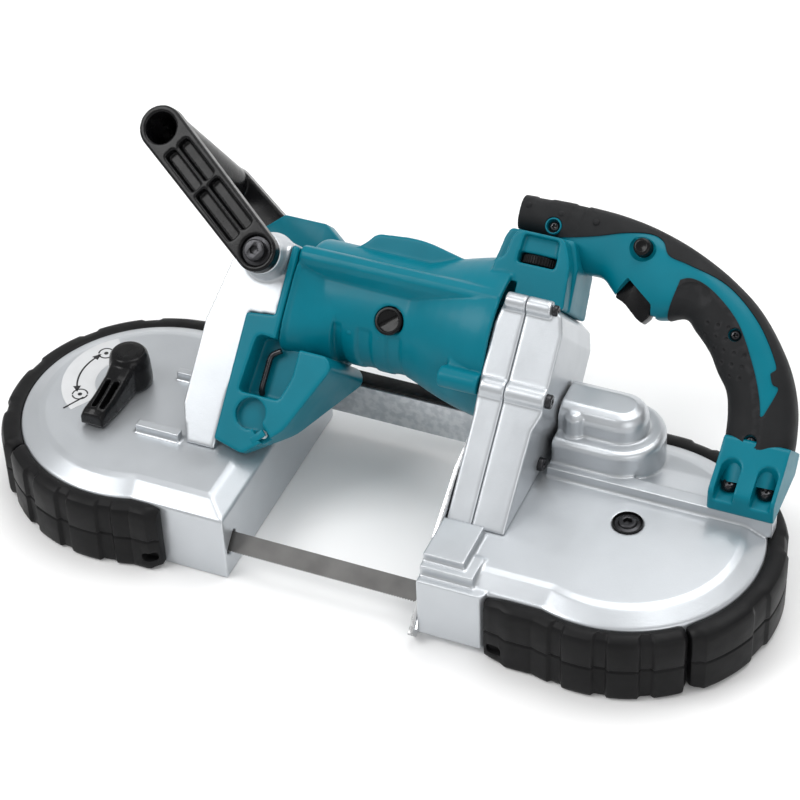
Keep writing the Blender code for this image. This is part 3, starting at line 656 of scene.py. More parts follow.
def motor_shelf():
    """Long step above the barrel that carries on the line of the screw bosses."""
    ends = []
    for x, rise in ((-80, 0), (-60, 0.6), (56.1, 4)):
        section = [(98, 8 + rise), (108, 21 + rise), (112.5, 26 + rise), (116, 28.5 + rise),
                   (120, 28.5 + rise), (123.5, 26 + rise), (125, 22 + rise), (125, -20), (98, -20)]
        ends.append([(x, v, n) for v, n in section])
    return loft(ends, work())


def motor_body():
    axis = along_x(work(0, MOTOR.y, MOTOR.z))
    shell = new_object("motor_shell", loft(motor_rings(), axis))
    weld(shell, motor_flange())
    weld(shell, motor_shelf())
    hump = rounded([(-58, 118), (-58, 131), (-50, 136), (-44, 144), (-14, 147), (24, 139), (34, 130),
                    (44, 127), (44, 118)], [1, 1, 5, 4, 12, 10, 4, 3, 1], 6)
    weld(shell, prism(hump, -36, -2, work()))
    neck = rounded([(20, 108), (20, 129), (33, 133), (38, 140), (40, 150), (41.5, 160), (44, 165.7),
                    (86, 165.7), (92, 150), (94, 121.3), (56.1, 121.3), (50, 108)], 2.0, 4)
    weld(shell, prism(neck, -36, 6, work()))
    dial_block = rounded([(42, 116), (42.5, 143), (48, 146), (50, 160), (54, 164.5), (83, 164.5),
                          (90, 150), (93, 121.3), (56.1, 121.3), (50, 108)],
                         [1, 3, 4, 4, 4, 4, 5, 2, 1, 1], 5)
    weld(shell, prism(dial_block, 0, 19, work()))
    weld(shell, turned([(6.4, 30), (6.8, 31.5), (6.8, 56)], along_x(work(0, *LOW_BOSS)), 32))
    panel = rounded([(33, 70), (56, 70), (56, 108), (33, 108)], 3, 4)
    weld(shell, prism(panel, 10, 29.5, work()))
    inside = [(34.2, -73.5), (34.2, -12), (39.5, 13), (47.3, 42), (48.6, 60)]
    carve(shell, turned(inside, axis, 64))
    bore(shell, 11.3, -90, -70, axis, 32)
    carve(shell, box((56.2, 40, -80), (120, 121.3, 60), work()))
    carve(shell, box((THROAT_RIGHT - 3.8, 30, -9), (60, 59, 16), work()))
    carve(shell, box((56.5, 144.5, -7), (81.2, 151.5, 22), work()))
    plate = rounded([(56.5, 148), (81.5, 148), (80, 162.2), (57.5, 162.2)], 1.5, 4)
    carve(shell, prism(plate, 15.5, 30, work()))
    for out in (1, -1):
        face = MOTOR.z + out * MOTOR_R
        bore(shell, 9.5, face - 4, face + 4, work(BRUSH_X, BRUSH_V, 0), 48)
    soften(shell, work(), 0.9, 4)
    finish(shell, "teal", ["motor_housing"])
    dots = []
    for x in (-62, -39, -19, 1):
        spot = work(x, MOTOR.y, MOTOR.z) @ spin(32, "X")
        dots.append(turned([(0.4, MOTOR_R - 0.9), (1.3, MOTOR_R - 0.4), (1.5, MOTOR_R + 0.15),
                            (0.9, MOTOR_R + 0.5)], spot, 16))
    spots = new_object("motor_dots", join(*dots))
    shade(spots)
    finish(spots, "teal")


def gear_half(name, line, hollow, high_end, low_end, hole):
    """One half of the gear column: a tilted prism with two screw bosses, hollow inside."""
    half = new_object(name, prism(line, CASE_LOW, CASE_FACE, work()))
    weld(half, turned([(5.5, high_end[0]), (5.5, high_end[1])], along_x(work(0, *HIGH_BOSS)), 40))
    weld(half, turned([(7, low_end[0]), (7, low_end[1])], along_x(work(0, *LOW_BOSS)), 40))
    carve(half, box((hollow[0], 30, CASE_LOW + 4), (hollow[1], 116, 28), work()))
    radius, low, high, v = hole
    bore(half, radius, low, high, along_x(work(0, v, MOTOR.z)), 40)
    carve(half, box((0, -200, -200), (140, 200, CROWN + GAP), level()))
    soften(half, work(), 0.9, 3)
    return half


def gear_column():
    left = THROAT_RIGHT + GAP
    line = [(left, -24), (SEAM_X, -24), (SEAM_X, 121), (60, 121), (56.5, 104), (56.5, 73), (left, 45)]
    case = gear_half("gear_case_casting", line, (61, 80), (60.5, SEAM_X), (58, SEAM_X),
                     (11.6, 50, 70, MOTOR.y))
    finish(case, "silver", ["gear_case"])
    left = SEAM_X + GAP
    line = [(left, -24), (95.5, -24), (96.5, 44), (100.2, 55), (100.2, 105), (97, 116), (90, 121),
            (left, 121)]
    cover = gear_half("gear_cover_casting", line, (70, 93), (left, 90), (left, 100.2),
                      (9.3, 85, 110, MOTOR.y - COUNTER_DROP))
    finish(cover, "silver", ["gear_cover"])


def idler_arm():
    line = [(-122, -18), (-104, -18), (-104, 75), (-85, 77), (-85, 124), (-112, 124), (-124, 104),
            (-131, 66), (-132, 10)]
    arm = new_object("idler_arm_casting", prism(line, -38, 26, work()))
    weld(arm, turned([(17, 18), (15, 28), (13.5, 33), (13.5, 40.2)], work(-100.5, 112), 48))
    weld(arm, turned([(6.5, -97), (6.5, -85.2)], along_x(work(0, 117, 24)), 32))
    carve(arm, box((-300, -200, -200), (0, 200, CROWN + GAP), level()))
    carve(arm, box((-127.5, -16, 0), (-105.5, 4, 58.4), level()))
    bore(arm, 3.6, -60, 60, work(-100.5, 112), 24)
    soften(arm, work(), 1.0, 4)
    finish(arm, "silver", ["idler_arm"])


def side_block():
    line = [(-103.7, -8), (-83, -13), (-60, 7), (-39, 52), (-44, 59), (-80.3, 59), (-80.3, 122),
            (-84.7, 122), (-84.7, 76.6), (-103.7, 74.6)]
    block = new_object("side_block_shell", prism(rounded(line, [2, 3, 5, 6, 4, 1, 1, 1, 1, 2], 5),
                                                 -37, 31, work()))
    carve(block, box((-300, -200, -200), (0, 200, CROWN + GAP), level()))
    pocket = rounded([(-96, 25), (-68, 25), (-63, 40), (-63, 61), (-93, 63)], [3, 3, 4, 2, 5], 5)
    carve(block, prism(pocket, 14, 40, work()))
    window = work(-73.5, 2, 0) @ spin(-42)
    carve(block, box((-5.5, -3.4, 25), (5.5, 3.6, 40), window))
    carve(block, turned([(13, 25), (11, 27), (9, 33), (10, 40)], work(-84, 13), 40))
    soften(block, work(), 0.8, 4)
    finish(block, "teal", ["side_block"])
    tab = new_object("lamp_tab", prism(rounded([(-2.2, -8), (2.2, -8), (2.2, 2), (-2.2, 2)], 0.8),
                                       28.5, 31.2, window))
    bevel(tab, 0.4, 2)
    finish(tab, "teal")
    lens = new_object("lamp_lens", turned([(2.6, 25.4), (2.6, 27.2), (1.9, 28.2), (0.7, 28.7)],
                                          window, 32))
    shade(lens)
    finish(lens, "lens", ["led_lens"])


def rod(points, radius, base, steps=20, cuts=6):
    """Round bar through points whose corners are rounded."""
    path = [Vector(points[0])]
    for before, here, after in zip(points, points[1:], points[2:]):
        before, here, after = Vector(before), Vector(here), Vector(after)
        reach = min(5.0, (before - here).length * 0.45, (after - here).length * 0.45)
        start = here + (before - here).normalized() * reach
        end = here + (after - here).normalized() * reach
        for k in range(cuts + 1):
            t = k / cuts
            path.append(start * (1 - t) ** 2 + here * 2 * t * (1 - t) + end * t ** 2)
    path.append(Vector(points[-1]))
    rings = []
    for i, p in enumerate(path):
        along = (path[min(i + 1, len(path) - 1)] - path[max(i - 1, 0)]).normalized()
        up = Vector((0, 0, 1)) if abs(along.z) < 0.9 else Vector((0, 1, 0))
        across = along.cross(up).normalized()
        other = across.cross(along)
        rings.append([tuple(p + across * a + other * b) for a, b in circle(radius, steps)])
    return loft(rings, base)


def hex_key():
    key = new_object("hex_key_bar", rod([(-79, 56, 18), (-85, 52, 18), (-85.5, 30, 18), (-85, 26.5, 16)],
                                        1.9, work()))
    shade(key)
    finish(key, "dark_steel", ["hex_key"])


# --- D handle ---
HANDLE_N = -18.5
HALF = 17.0
FRONT_FACE = HANDLE_N + HALF - 0.8
SQUARENESS = 0.72
LOCK_AT = (127, 172)
THUMB_AT = (165, 150)
# (outer edge, inner edge) of the handle in the work plane, from the grip's free end to the foot
PATH = [((43.5, 190), (44, 166)), ((70, 191), (70, 164)), ((90, 191), (86, 150)),
        ((108, 190), (104, 148)), ((128, 187), (118, 137)), ((150, 181), (143, 131)),
        ((170, 173), (160, 136)), ((187, 164), (170, 129)), ((203, 153), (181, 119)),
        ((218, 138), (189, 108)), ((232, 119), (197, 98)), ((241, 99), (201, 86)),
        ((245, 80), (203, 73)), ((246, 64), (204, 60)), ((246, 46), (205, 44))]
GRIP_END = 12.95
TIP_S = 11.35                     # where the two rubbers meet
# Edges of the outer and the inner rubber on the handle's face
OUTER_LINE = [(40, 168), (71, 167), (94, 172), (114, 179), (129, 182), (138, 179), (144, 171),
              (158, 168), (184, 161), (208, 143), (225, 120), (223, 115), (226, 108), (230, 105),
              (224, 84)]
INNER_LINE = [(147, 149), (154, 157), (163, 160), (177, 155), (196, 140), (211, 117), (220, 98),
              (224, 84)]
INNER_START = 5.4
NO_MEETING = 150
SCREWS = [(68, 173), (196, 132), (221, 71)]
SKIN = 0.78
DIMPLE_START = (177.5, 135.5)
DIMPLE_PITCH = (6.9, -7.2)
DIMPLE_ROWS = ((0, 3), (0, 3), (1, 4), (2, 3), (3, 2))


def spline(values, t):
    """Catmull-Rom through a list of vectors; t runs from 0 to len - 1."""
    i = min(int(t), len(values) - 2)
    f = t - i
    a, b, c, d = [values[max(0, min(len(values) - 1, i + k))] for k in (-1, 0, 1, 2)]
    return (b + (c - a) * 0.5 * f + (a - b * 2.5 + c * 2 - d * 0.5) * f * f
            + ((b - c) * 1.5 + (d - a) * 0.5) * f ** 3)


OUTER = [Vector(a) for a, b in PATH]
INNER = [Vector(b) for a, b in PATH]


def grip_point(s, turn, lift=0.0):
    """Point on the handle: s along it, turn in degrees from its outer edge (90 is the front)."""
    outer, inner = spline(OUTER, s), spline(INNER, s)
    middle = (outer + inner) / 2
    across = outer - inner
    half = across.length / 2 - 0.7
    across.normalize()
    a = math.radians(turn)
    c, sn = math.cos(a), math.sin(a)
    reach = math.copysign(abs(c) ** SQUARENESS, c) * half
    rise = math.copysign(abs(sn) ** SQUARENESS, sn) * (HALF - 0.8)
    normal = Vector((c / max(half, 1), sn / HALF)).normalized()
    reach += normal.x * lift
    rise += normal.y * lift
    p = middle + across * reach
    return (p.x, p.y, HANDLE_N + rise)


def fair(line, cuts=6):
    """The same line as a smooth curve."""
    points = [Vector(p) for p in line]
    steps = (len(points) - 1) * cuts
    return [tuple(spline(points, i / cuts)) for i in range(steps)] + [tuple(points[-1])]


def turn_at(share):
    """Turn of the front surface at a share of the way from the outer edge to the inner one."""
    c = max(-1.0, min(1.0, 1 - 2 * share))
    return math.degrees(math.acos(math.copysign(abs(c) ** (1 / SQUARENESS), c)))


def skin_height(x, v):
    """Height of the handle's front surface above the work plane at a point on its face."""
    spot = Vector((x, v))

    def place(s):
        outer, inner = spline(OUTER, s), spline(INNER, s)
        way = inner - outer
        share = (spot - outer).dot(way) / way.length_squared
        return (outer + way * share - spot).length, s, share

    _, s, share = min(place(i / 40) for i in range(40 * (len(PATH) - 1)))
    return grip_point(s, turn_at(share))[2]


def line_turn(line, s):
    """Turn at which the handle's cross-section at s meets a line drawn on its face."""
    outer, inner = spline(OUTER, s), spline(INNER, s)
    way = inner - outer
    for a, b in zip(line, line[1:]):
        a, b = Vector(a), Vector(b)
        step = b - a
        det = way.x * step.y - way.y * step.x
        if abs(det) < 1e-6:
            continue
        gap = a - outer
        share = (gap.x * step.y - gap.y * step.x) / det
        along = (gap.x * way.y - gap.y * way.x) / det
        if -0.001 <= along <= 1.001 and -0.05 <= share <= 1.05:
            return turn_at(share)
    return NO_MEETING


def patch(name, s0, s1, first, last, lift, rows, columns, pits):
    """Rubber skin on the handle between two curves of turn, first(s) and last(s)."""
    mesh = bmesh.new()
    grid = []
    for i in range(rows + 1):
        s = s0 + (s1 - s0) * i / rows
        a, b = first(s), last(s)
        row = []
        for j in range(columns + 1):
            turn = a + (b - a) * j / columns
            row.append((mesh.verts.new(work() @ Vector(grip_point(s, turn, lift(s, turn))) * MM),
                        mesh.verts.new(work() @ Vector(grip_point(s, turn, -1.4)) * MM)))
        grid.append(row)
    for i in range(rows):
        for j in range(columns):
            corners = (grid[i][j], grid[i + 1][j], grid[i + 1][j + 1], grid[i][j + 1])
            mesh.faces.new([c[0] for c in corners])
            mesh.faces.new([c[1] for c in corners][::-1])
    for i in range(rows):
        for j in (0, columns):
            a, b = grid[i][j], grid[i + 1][j]
            mesh.faces.new((a[0], a[1], b[1], b[0]))
    for j in range(columns):
        for i in (0, rows):
            a, b = grid[i][j], grid[i][j + 1]
            mesh.faces.new((a[0], b[0], b[1], a[1]))
    bmesh.ops.recalc_face_normals(mesh, faces=mesh.faces)
    obj = new_object(name, mesh)
    for pit in pits:
        carve(obj, pit)
    bevel(obj, 0.35, 2, 50)
    return finish(obj, "grip")


def hole(x, v, radius, depth):
    """Cutter for a screw hole with a flared mouth."""
    wide = radius + 0.6
    return turned([(radius, FRONT_FACE - depth), (radius, FRONT_FACE + 0.3), (wide, FRONT_FACE + 0.9),
                   (wide, FRONT_FACE + 4)], work(x, v), 36)


def dimples():
    """Shallow pits on a square lattice; each row is (first column, count)."""
    pits = []
    for row, (first, count) in enumerate(DIMPLE_ROWS):
        for column in range(first, first + count):
            x = DIMPLE_START[0] + DIMPLE_PITCH[0] * column
            v = DIMPLE_START[1] + DIMPLE_PITCH[1] * row
            skin = skin_height(x, v) + SKIN
            pits.append(turned([(0.5, skin - 0.5), (1.1, skin - 0.35), (1.45, skin + 0.05),
                                (1.6, skin + 3)], work(x, v), 14))
    return join(*pits)


def thumb_rest():
    """Shallow oval dish for the thumb."""
    skin = skin_height(*THUMB_AT) + SKIN
    rings = [[(11.5 * grow * c, 8 * grow * s, n) for c, s in circle(1, 48)]
             for n, grow in ((skin - 0.45, 0.9), (skin - 0.1, 1.0), (skin + 4, 1.04))]
    return loft(rings, work(*THUMB_AT) @ spin(4))


def outer_lift(s, turn):
    """Thickness of the outer rubber, with two sunk bands across the upper grip."""
    sunk = (0.34 < s < 0.7 or 1.32 < s < 1.78) and abs(turn) < 84
    return 0.25 if sunk else 0.85


def d_handle():
    rings = []
    for i in range(151):
        s = 0.02 + (len(PATH) - 1.04) * i / 150
        rings.append([grip_point(s, k * 360 / 48) for k in range(48)])
    body = new_object("handle_body", loft(rings, work()))
    carve(body, box((110, 118, HANDLE_N - 6.8), (143, 162.5, HANDLE_N + 6.8), work()))
    notch = [(113, 115), (114, 139), (122, 152), (140, 139), (140, 115)]
    for low, high in ((HANDLE_N, 10), (-60, HANDLE_N)):
        carve(body, prism(rounded(notch, [0.1, 1, 1.5, 1.5, 0.1], 4), low, high, work()))
    bore(body, 6, -60, 20, work(*LOCK_AT), 32)
    dish = [(6.4, FRONT_FACE - 2.6), (8.2, FRONT_FACE - 1.2), (9.6, FRONT_FACE + 1.4)]
    carve(body, turned(dish, work(*LOCK_AT), 48))
    carve(body, box((190, -60, 0), (260, 120, 66), level()))
    for x, v in SCREWS:
        carve(body, hole(x, v, 4.2, 4.2))
    shade(body, 50)
    finish(body, "teal", ["handle_front_half", "handle_rear_half", "switch_body"])

    outer_curve, inner_curve = fair(OUTER_LINE), fair(INNER_LINE)

    def outer_edge(s):
        return 89.0 if s > TIP_S else line_turn(outer_curve, s)

    def inner_edge(s):
        return 88.0 if s > TIP_S else line_turn(inner_curve, s)

    screw_holes = [hole(x, v, r, 3) for (x, v), r in zip(SCREWS, (5.4, 4.2, 4.2))]
    patch("grip_outer", 0.04, GRIP_END, lambda s: -outer_edge(s), outer_edge, outer_lift, 230, 44,
          screw_holes[:1])
    patch("grip_inner", INNER_START, GRIP_END, inner_edge, lambda s: 360 - inner_edge(s),
          lambda s, turn: SKIN, 120, 44, screw_holes[1:] + [dimples(), thumb_rest()])
    rim = new_object("screw_rim", revolve([(4.2, -4), (5.3, -4), (5.3, 0.6), (4.9, 1.1), (4.4, 1.1)],
                                          work(*SCREWS[0], FRONT_FACE), 40))
    shade(rim)
    finish(rim, "teal")
    for i, (x, v) in enumerate(SCREWS):
        cross_head("handle_screw_%d" % (i + 1), work(x, v, FRONT_FACE - 4.1), 3.4, 2.4)
    for i, (x, v) in enumerate(((49, 182.5), (71, 181.5), (94, 181))):
        stud = new_object("grip_stud_%d" % (i + 1), turned([(1.9, -1.2), (1.9, 0.7), (1.3, 1.15)],
                                                           work(x, v, FRONT_FACE), 20))
        shade(stud)
        finish(stud, "grip")
    handle_foot()


def handle_foot():
    """Teal foot with its two screw pockets, standing on the ridge."""
    outline = rounded([(21, 62.3), (70, 62.3), (78, 73), (52.5, 97.5), (40, 88), (21, 78.5)],
                      [3, 1, 3, 3, 8, 4], 6)
    foot = new_object("handle_foot", prism(outline, 204.8, 246.4, side()))
    for x in (214.5, 237.5):
        u_shape = arc(6.2, 0, 180, 20, x, 36) + [(x - 6.2, 15), (x + 6.2, 15)]
        carve(foot, prism(u_shape, 71.5, 130, level()))
    bore(foot, 26, -10, 60, side() @ Matrix.Translation((88, 115, 200)), 40)
    soften(foot, side(), 0.8, 3)
    finish(foot, "teal")


# --- controls on the D handle ---
DIAL_TEETH = 40


def controls():
    line = rounded([(115, 139), (121, 137), (131, 129), (135, 127), (139, 132), (139, 152),
                    (124, 155), (115, 150)], [1.2, 5, 3, 1.5, 2, 1, 1, 1], 5)
    key = new_object("trigger_key_face", prism(line, HANDLE_N - 5.9, HANDLE_N + 5.9, work()))
    bevel(key, 1.1, 3, 40)
    finish(key, "black", ["trigger"], "trigger_key")
    button = turned([(5.0, -16.5), (5.5, -15.6), (5.6, -14), (5.6, 19), (5.4, 20.2), (4.6, 20.9),
                     (3.2, 21), (2.2, 20.5)], work(*LOCK_AT, HANDLE_N), 40)
    lock = new_object("lock_button_cap", button)
    shade(lock)
    finish(lock, "black", ["lock_button"], "lock_key")
    steps = DIAL_TEETH * 4
    rings = []
    for v, valley, crest in ((145, 10.6, 10.6), (145.7, 11.2, 11.9), (150.3, 11.2, 11.9),
                             (151, 10.6, 10.6)):
        row = []
        for i in range(steps):
            r = crest if i % 4 < 2 else valley
            a = math.tau * i / steps
            row.append((r * math.cos(a), r * math.sin(a), v))
        rings.append(row)
    dial = new_object("speed_dial_wheel", loft(rings, along_v(work(68.5, 0, 6))))
    shade(dial, 30)
    finish(dial, "rubber", ["speed_dial"], "dial")


# --- front handle ---
BOLT, NEAR_END, FAR_END = (-100.5, 112), (-184, 174.5), (-173, 158)


def capsule(start, end, r0, r1, steps):
    """Outline of a bar with two round ends."""
    heading = math.degrees(math.atan2(end[1] - start[1], end[0] - start[0]))
    return (arc(r1, heading - 90, heading + 90, steps, *end)
            + arc(r0, heading + 90, heading + 270, steps, *start))


def tube_loft(levels, steps=64):
    """Tube along the front handle's axis from (height, radius) pairs."""
    rings = []
    for n, radius in levels:
        share = (50 - n) / 110
        x = NEAR_END[0] + (FAR_END[0] - NEAR_END[0]) * share
        v = NEAR_END[1] + (FAR_END[1] - NEAR_END[1]) * share
        rings.append(ring(circle(radius, steps, x, v), n))
    return loft(rings, work())


def arm_pockets(handle, end, spans, low, high):
    """Two rows of weight-saving pockets along one arm."""
    turn = math.atan2(end[1] - BOLT[1], end[0] - BOLT[0])
    arm = work(*BOLT, 0) @ Matrix.Rotation(turn, 4, "Z")
    for across in (-9.6, 1.3):
        for first, last in spans:
            outline = [(first, across), (last, across), (last, across + 8.3), (first, across + 8.3)]
            carve(handle, prism(rounded(outline, 2.5, 5), low, high, arm))


def front_handle():
    handle = new_object("front_handle_body", tube_loft([(50.2, 12.4), (49.4, 13.7), (46, 14.1),
                                                        (-58, 14.1), (-60, 13.6)]))
    weld(handle, prism(capsule(BOLT, NEAR_END, 13.3, 14.6, 28), 40.6, 50.2, work()))
    weld(handle, prism(capsule(BOLT, FAR_END, 13.3, 14.6, 28), -65.8, -54.2, work()))
    carve(handle, tube_loft([(56, 10.6), (49, 10.4), (-70, 10.4)]))
    for low, high, radius in ((-80, 60, 3.6), (47, 60, 9.8), (-80, -63, 9.2)):
        bore(handle, radius, low, high, work(*BOLT, 0), 40)
    length = math.dist(BOLT, NEAR_END)
    rib = length * 0.52
    arm_pockets(handle, NEAR_END, ((15.5, rib), (rib + 2.6, length - 16.5)), 43.8, 60)
    arm_pockets(handle, FAR_END, ((15.5, math.dist(BOLT, FAR_END) - 16.5),), -80, -59)
    soften(handle, work(), 0.75, 3)
    finish(handle, "black", ["front_handle"])
    washer = new_object("bolt_washer", turned([(9.3, 46.4), (9.5, 46.6), (9.5, 47.6), (9.2, 47.9)],
                                              work(*BOLT, 0), 48))
    bore(washer, 3.6, 40, 60, work(*BOLT, 0), 32)
    bevel(washer, 0.1, 2)
    finish(washer, "dark_steel")
    socket_head("socket_bolt_front", work(*BOLT, 48), 7.0, 5.2, 3.0, ["handle_bolt_front"])
    socket_head("socket_bolt_rear", work(*BOLT, -64) @ spin(180, "X"), 7.0, 8, 3.0,
                ["handle_bolt_rear"])


def socket_head(name, base, radius, height, hex_radius, replaces=()):
    """Cap screw with a hexagon socket; the base plane is its seat."""
    profile = [(radius - 0.25, 0), (radius, 0.3), (radius, height - 1.0), (radius - 0.3, height - 0.35),
               (radius - 0.9, height)]
    head = new_object(name, turned(profile, base, 72))
    carve(head, prism(circle(hex_radius, 6), height - 3.0, height + 3, base))
    bevel(head, 0.18, 2, 25)
    return finish(head, "dark_steel", replaces)


def cross_head(name, base, radius, height, replaces=()):
    """Pan-head screw with a cross recess."""
    profile = [(radius * 0.96, 0), (radius, height * 0.25), (radius * 0.93, height * 0.65),
               (radius * 0.7, height * 0.92), (radius * 0.35, height)]
    head = new_object(name, turned(profile, base, 40))
    arm, width, depth = radius * 0.58, radius * 0.2, height * 0.55
    for turn in (0.35, 0.35 + math.pi / 2):
        spin = base @ Matrix.Rotation(turn, 4, "Z")
        rings = [[(-arm * s, -width * s, z), (arm * s, -width * s, z), (arm * s, width * s, z),
                  (-arm * s, width * s, z)] for z, s in ((height - depth, 0.45), (height + 1, 1.15))]
        carve(head, loft(rings, spin))
    bevel(head, 0.12, 2, 30)
    return finish(head, "dark_steel", replaces)


def screws():
    for i, x in enumerate((214.5, 237.5)):
        cross_head("foot_screw_head_%d" % (i + 1), level(x, 34.5, 72.4), 4.9, 4.6,
                   ["foot_screw_%d" % (i + 1)])
    flank = node_box("gear_cover")[1].x
    socket_head("cover_screw_1", along_x(work(flank - 0.6, *LOW_BOSS)), 4.6, 4.2, 2.0)
    socket_head("cover_screw_2", along_x(work(96, 27, -4)), 4.4, 4.0, 2.0)
    socket_head("cover_screw_3", along_x(work(91, *HIGH_BOSS)), 3.6, 3.2, 1.6)
    section = [(8.9, 53.3), (9.4, 53.3), (9.4, 56.2), (8.9, 56.2)]
    seat = new_object("screw_seat_ring", revolve(section, level(WHEEL_X, 0), 64))
    bevel(seat, 0.1, 2)
    finish(seat, "black")
    cap = new_object("spindle_cap_face", turned([(8.5, 53.4), (8.6, 53.8), (8.6, 54.8), (7.9, 55.3),
                                                 (5.9, 55.5), (5.6, 56.6), (5.0, 57)],
                                                level(WHEEL_X, 0), 56))
    carve(cap, prism(circle(3.1, 6), 54, 60, level(WHEEL_X, 0)))
    bevel(cap, 0.15, 2, 25)
    finish(cap, "dark_steel", ["spindle_cap_screw"])
    for side_name, out in (("front", 1), ("rear", -1)):
        base = work(BRUSH_X, BRUSH_V, MOTOR.z + out * MOTOR_R)
        if out < 0:
            base = base @ spin(180, "X")
        profile = [(8.9, -2.8), (8.9, -0.2), (8.5, 0.3), (7.2, 0.4), (6.8, 0.0), (6.6, -0.4)]
        cap = new_object("brush_cap_face_" + side_name, turned(profile, base, 56))
        slot = rounded([(-6.6, -1.3), (6.6, -1.3), (6.6, 1.3), (-6.6, 1.3)], 1.0, 4)
        carve(cap, prism(slot, -1.6, 2, base @ spin(38)))
        bevel(cap, 0.15, 2, 25)
        finish(cap, "black", ["brush_cap_" + side_name])


# --- tension lever ---
def tension_lever():
    pivot = level(LEVER.x, LEVER.y)
    lever = new_object("lever_body", turned([(4.2, 44), (4.2, 55.6), (13.8, 56.2), (14, 60), (13.4, 72),
                                             (12.4, 78), (10.6, 80.4), (7, 81), (2, 81)], pivot, 64))
    lean = []
    for y, x0, x1, top in ((0, -9.4, 9.4, 80.5), (-8, -9.0, 9.0, 79), (-18, -8.4, 8.4, 75),
                           (-34, -9.4, 7.4, 70.5), (-46, -10.8, 5.6, 68.2), (-50, -10.8, 4.6, 66)):
        middle, half = (x0 + x1) / 2, (x1 - x0) / 2
        section = [(x1, 56.8), (x1, top - 3.5), (middle + half * 0.78, top - 0.8), (middle + 1.5, top),
                   (middle - 1.5, top), (middle - half * 0.78, top - 0.8), (x0, top - 3.5), (x0, 56.8)]
        lean.append([(x, y, z) for x, z in section])
    weld(lever, loft(lean, pivot))
    for x in (-5.6, 0.2):
        slot = rounded([(x, -44), (x + 3.4, -44), (x + 4.2, -22), (x + 0.6, -22)], 1.2, 4)
        carve(lever, prism(slot, 64, 90, pivot))
    soften(lever, pivot, 0.7, 4)
    finish(lever, "black", ["tension_lever"], "lever")


def label():
    """Dial label round the lever: a pale arc with a double arrow and two plain wheel signs."""
    top = CROWN + 0.12
    base = level(LEVER.x, LEVER.y)
    plate = arc(46, 128, 238, 60) + arc(24, 238, 128, 40)
    sheet = new_object("dial_label", prism(plate, CROWN - 0.25, top, base))
    shade(sheet, 30)
    finish(sheet, "label")
    signs = []

    def put(outline, spin=0.0, x=0.0, y=0.0):
        spot = base @ Matrix.Translation((x, y, 0)) @ Matrix.Rotation(spin, 4, "Z")
        signs.append(prism(outline, top - 0.05, top + 0.08, spot))

    put(arc(36.4, 160, 208, 30) + arc(35.2, 208, 160, 30))
    for angle, tip in ((160, -6), (208, 6)):
        a = math.radians(angle)
        head = [(-2.6, 0), (2.6, 0), (0, tip)]
        put(head if tip > 0 else [head[0], head[2], head[1]], a, 35.8 * math.cos(a), 35.8 * math.sin(a))
    for angle in (146, 222):
        a = math.radians(angle)
        cx, cy = 35 * math.cos(a), 35 * math.sin(a)
        put(arc(5.4, 0, 180, 20) + arc(4.4, 180, 0, 20), 0.4, cx, cy)
        put(arc(5.4, 190, 350, 20) + arc(4.4, 350, 190, 20), 0.4, cx, cy)
        put(circle(1.5, 16), 0, cx, cy)
    put([(-8, -0.6), (8, -0.6), (8, 0.6), (-8, 0.6)], 1.1, cx, cy - 9)
    sign = new_object("label_signs", join(*signs))
    finish(sign, "ink")


# --- blade, stopper and bar ---
BLADE_WIDTH = 13.0
BLADE_THICK = 0.6
BLADE_R = 76.6
TOOTH_PITCH = 1.8
TOOTH_DEPTH = 0.85


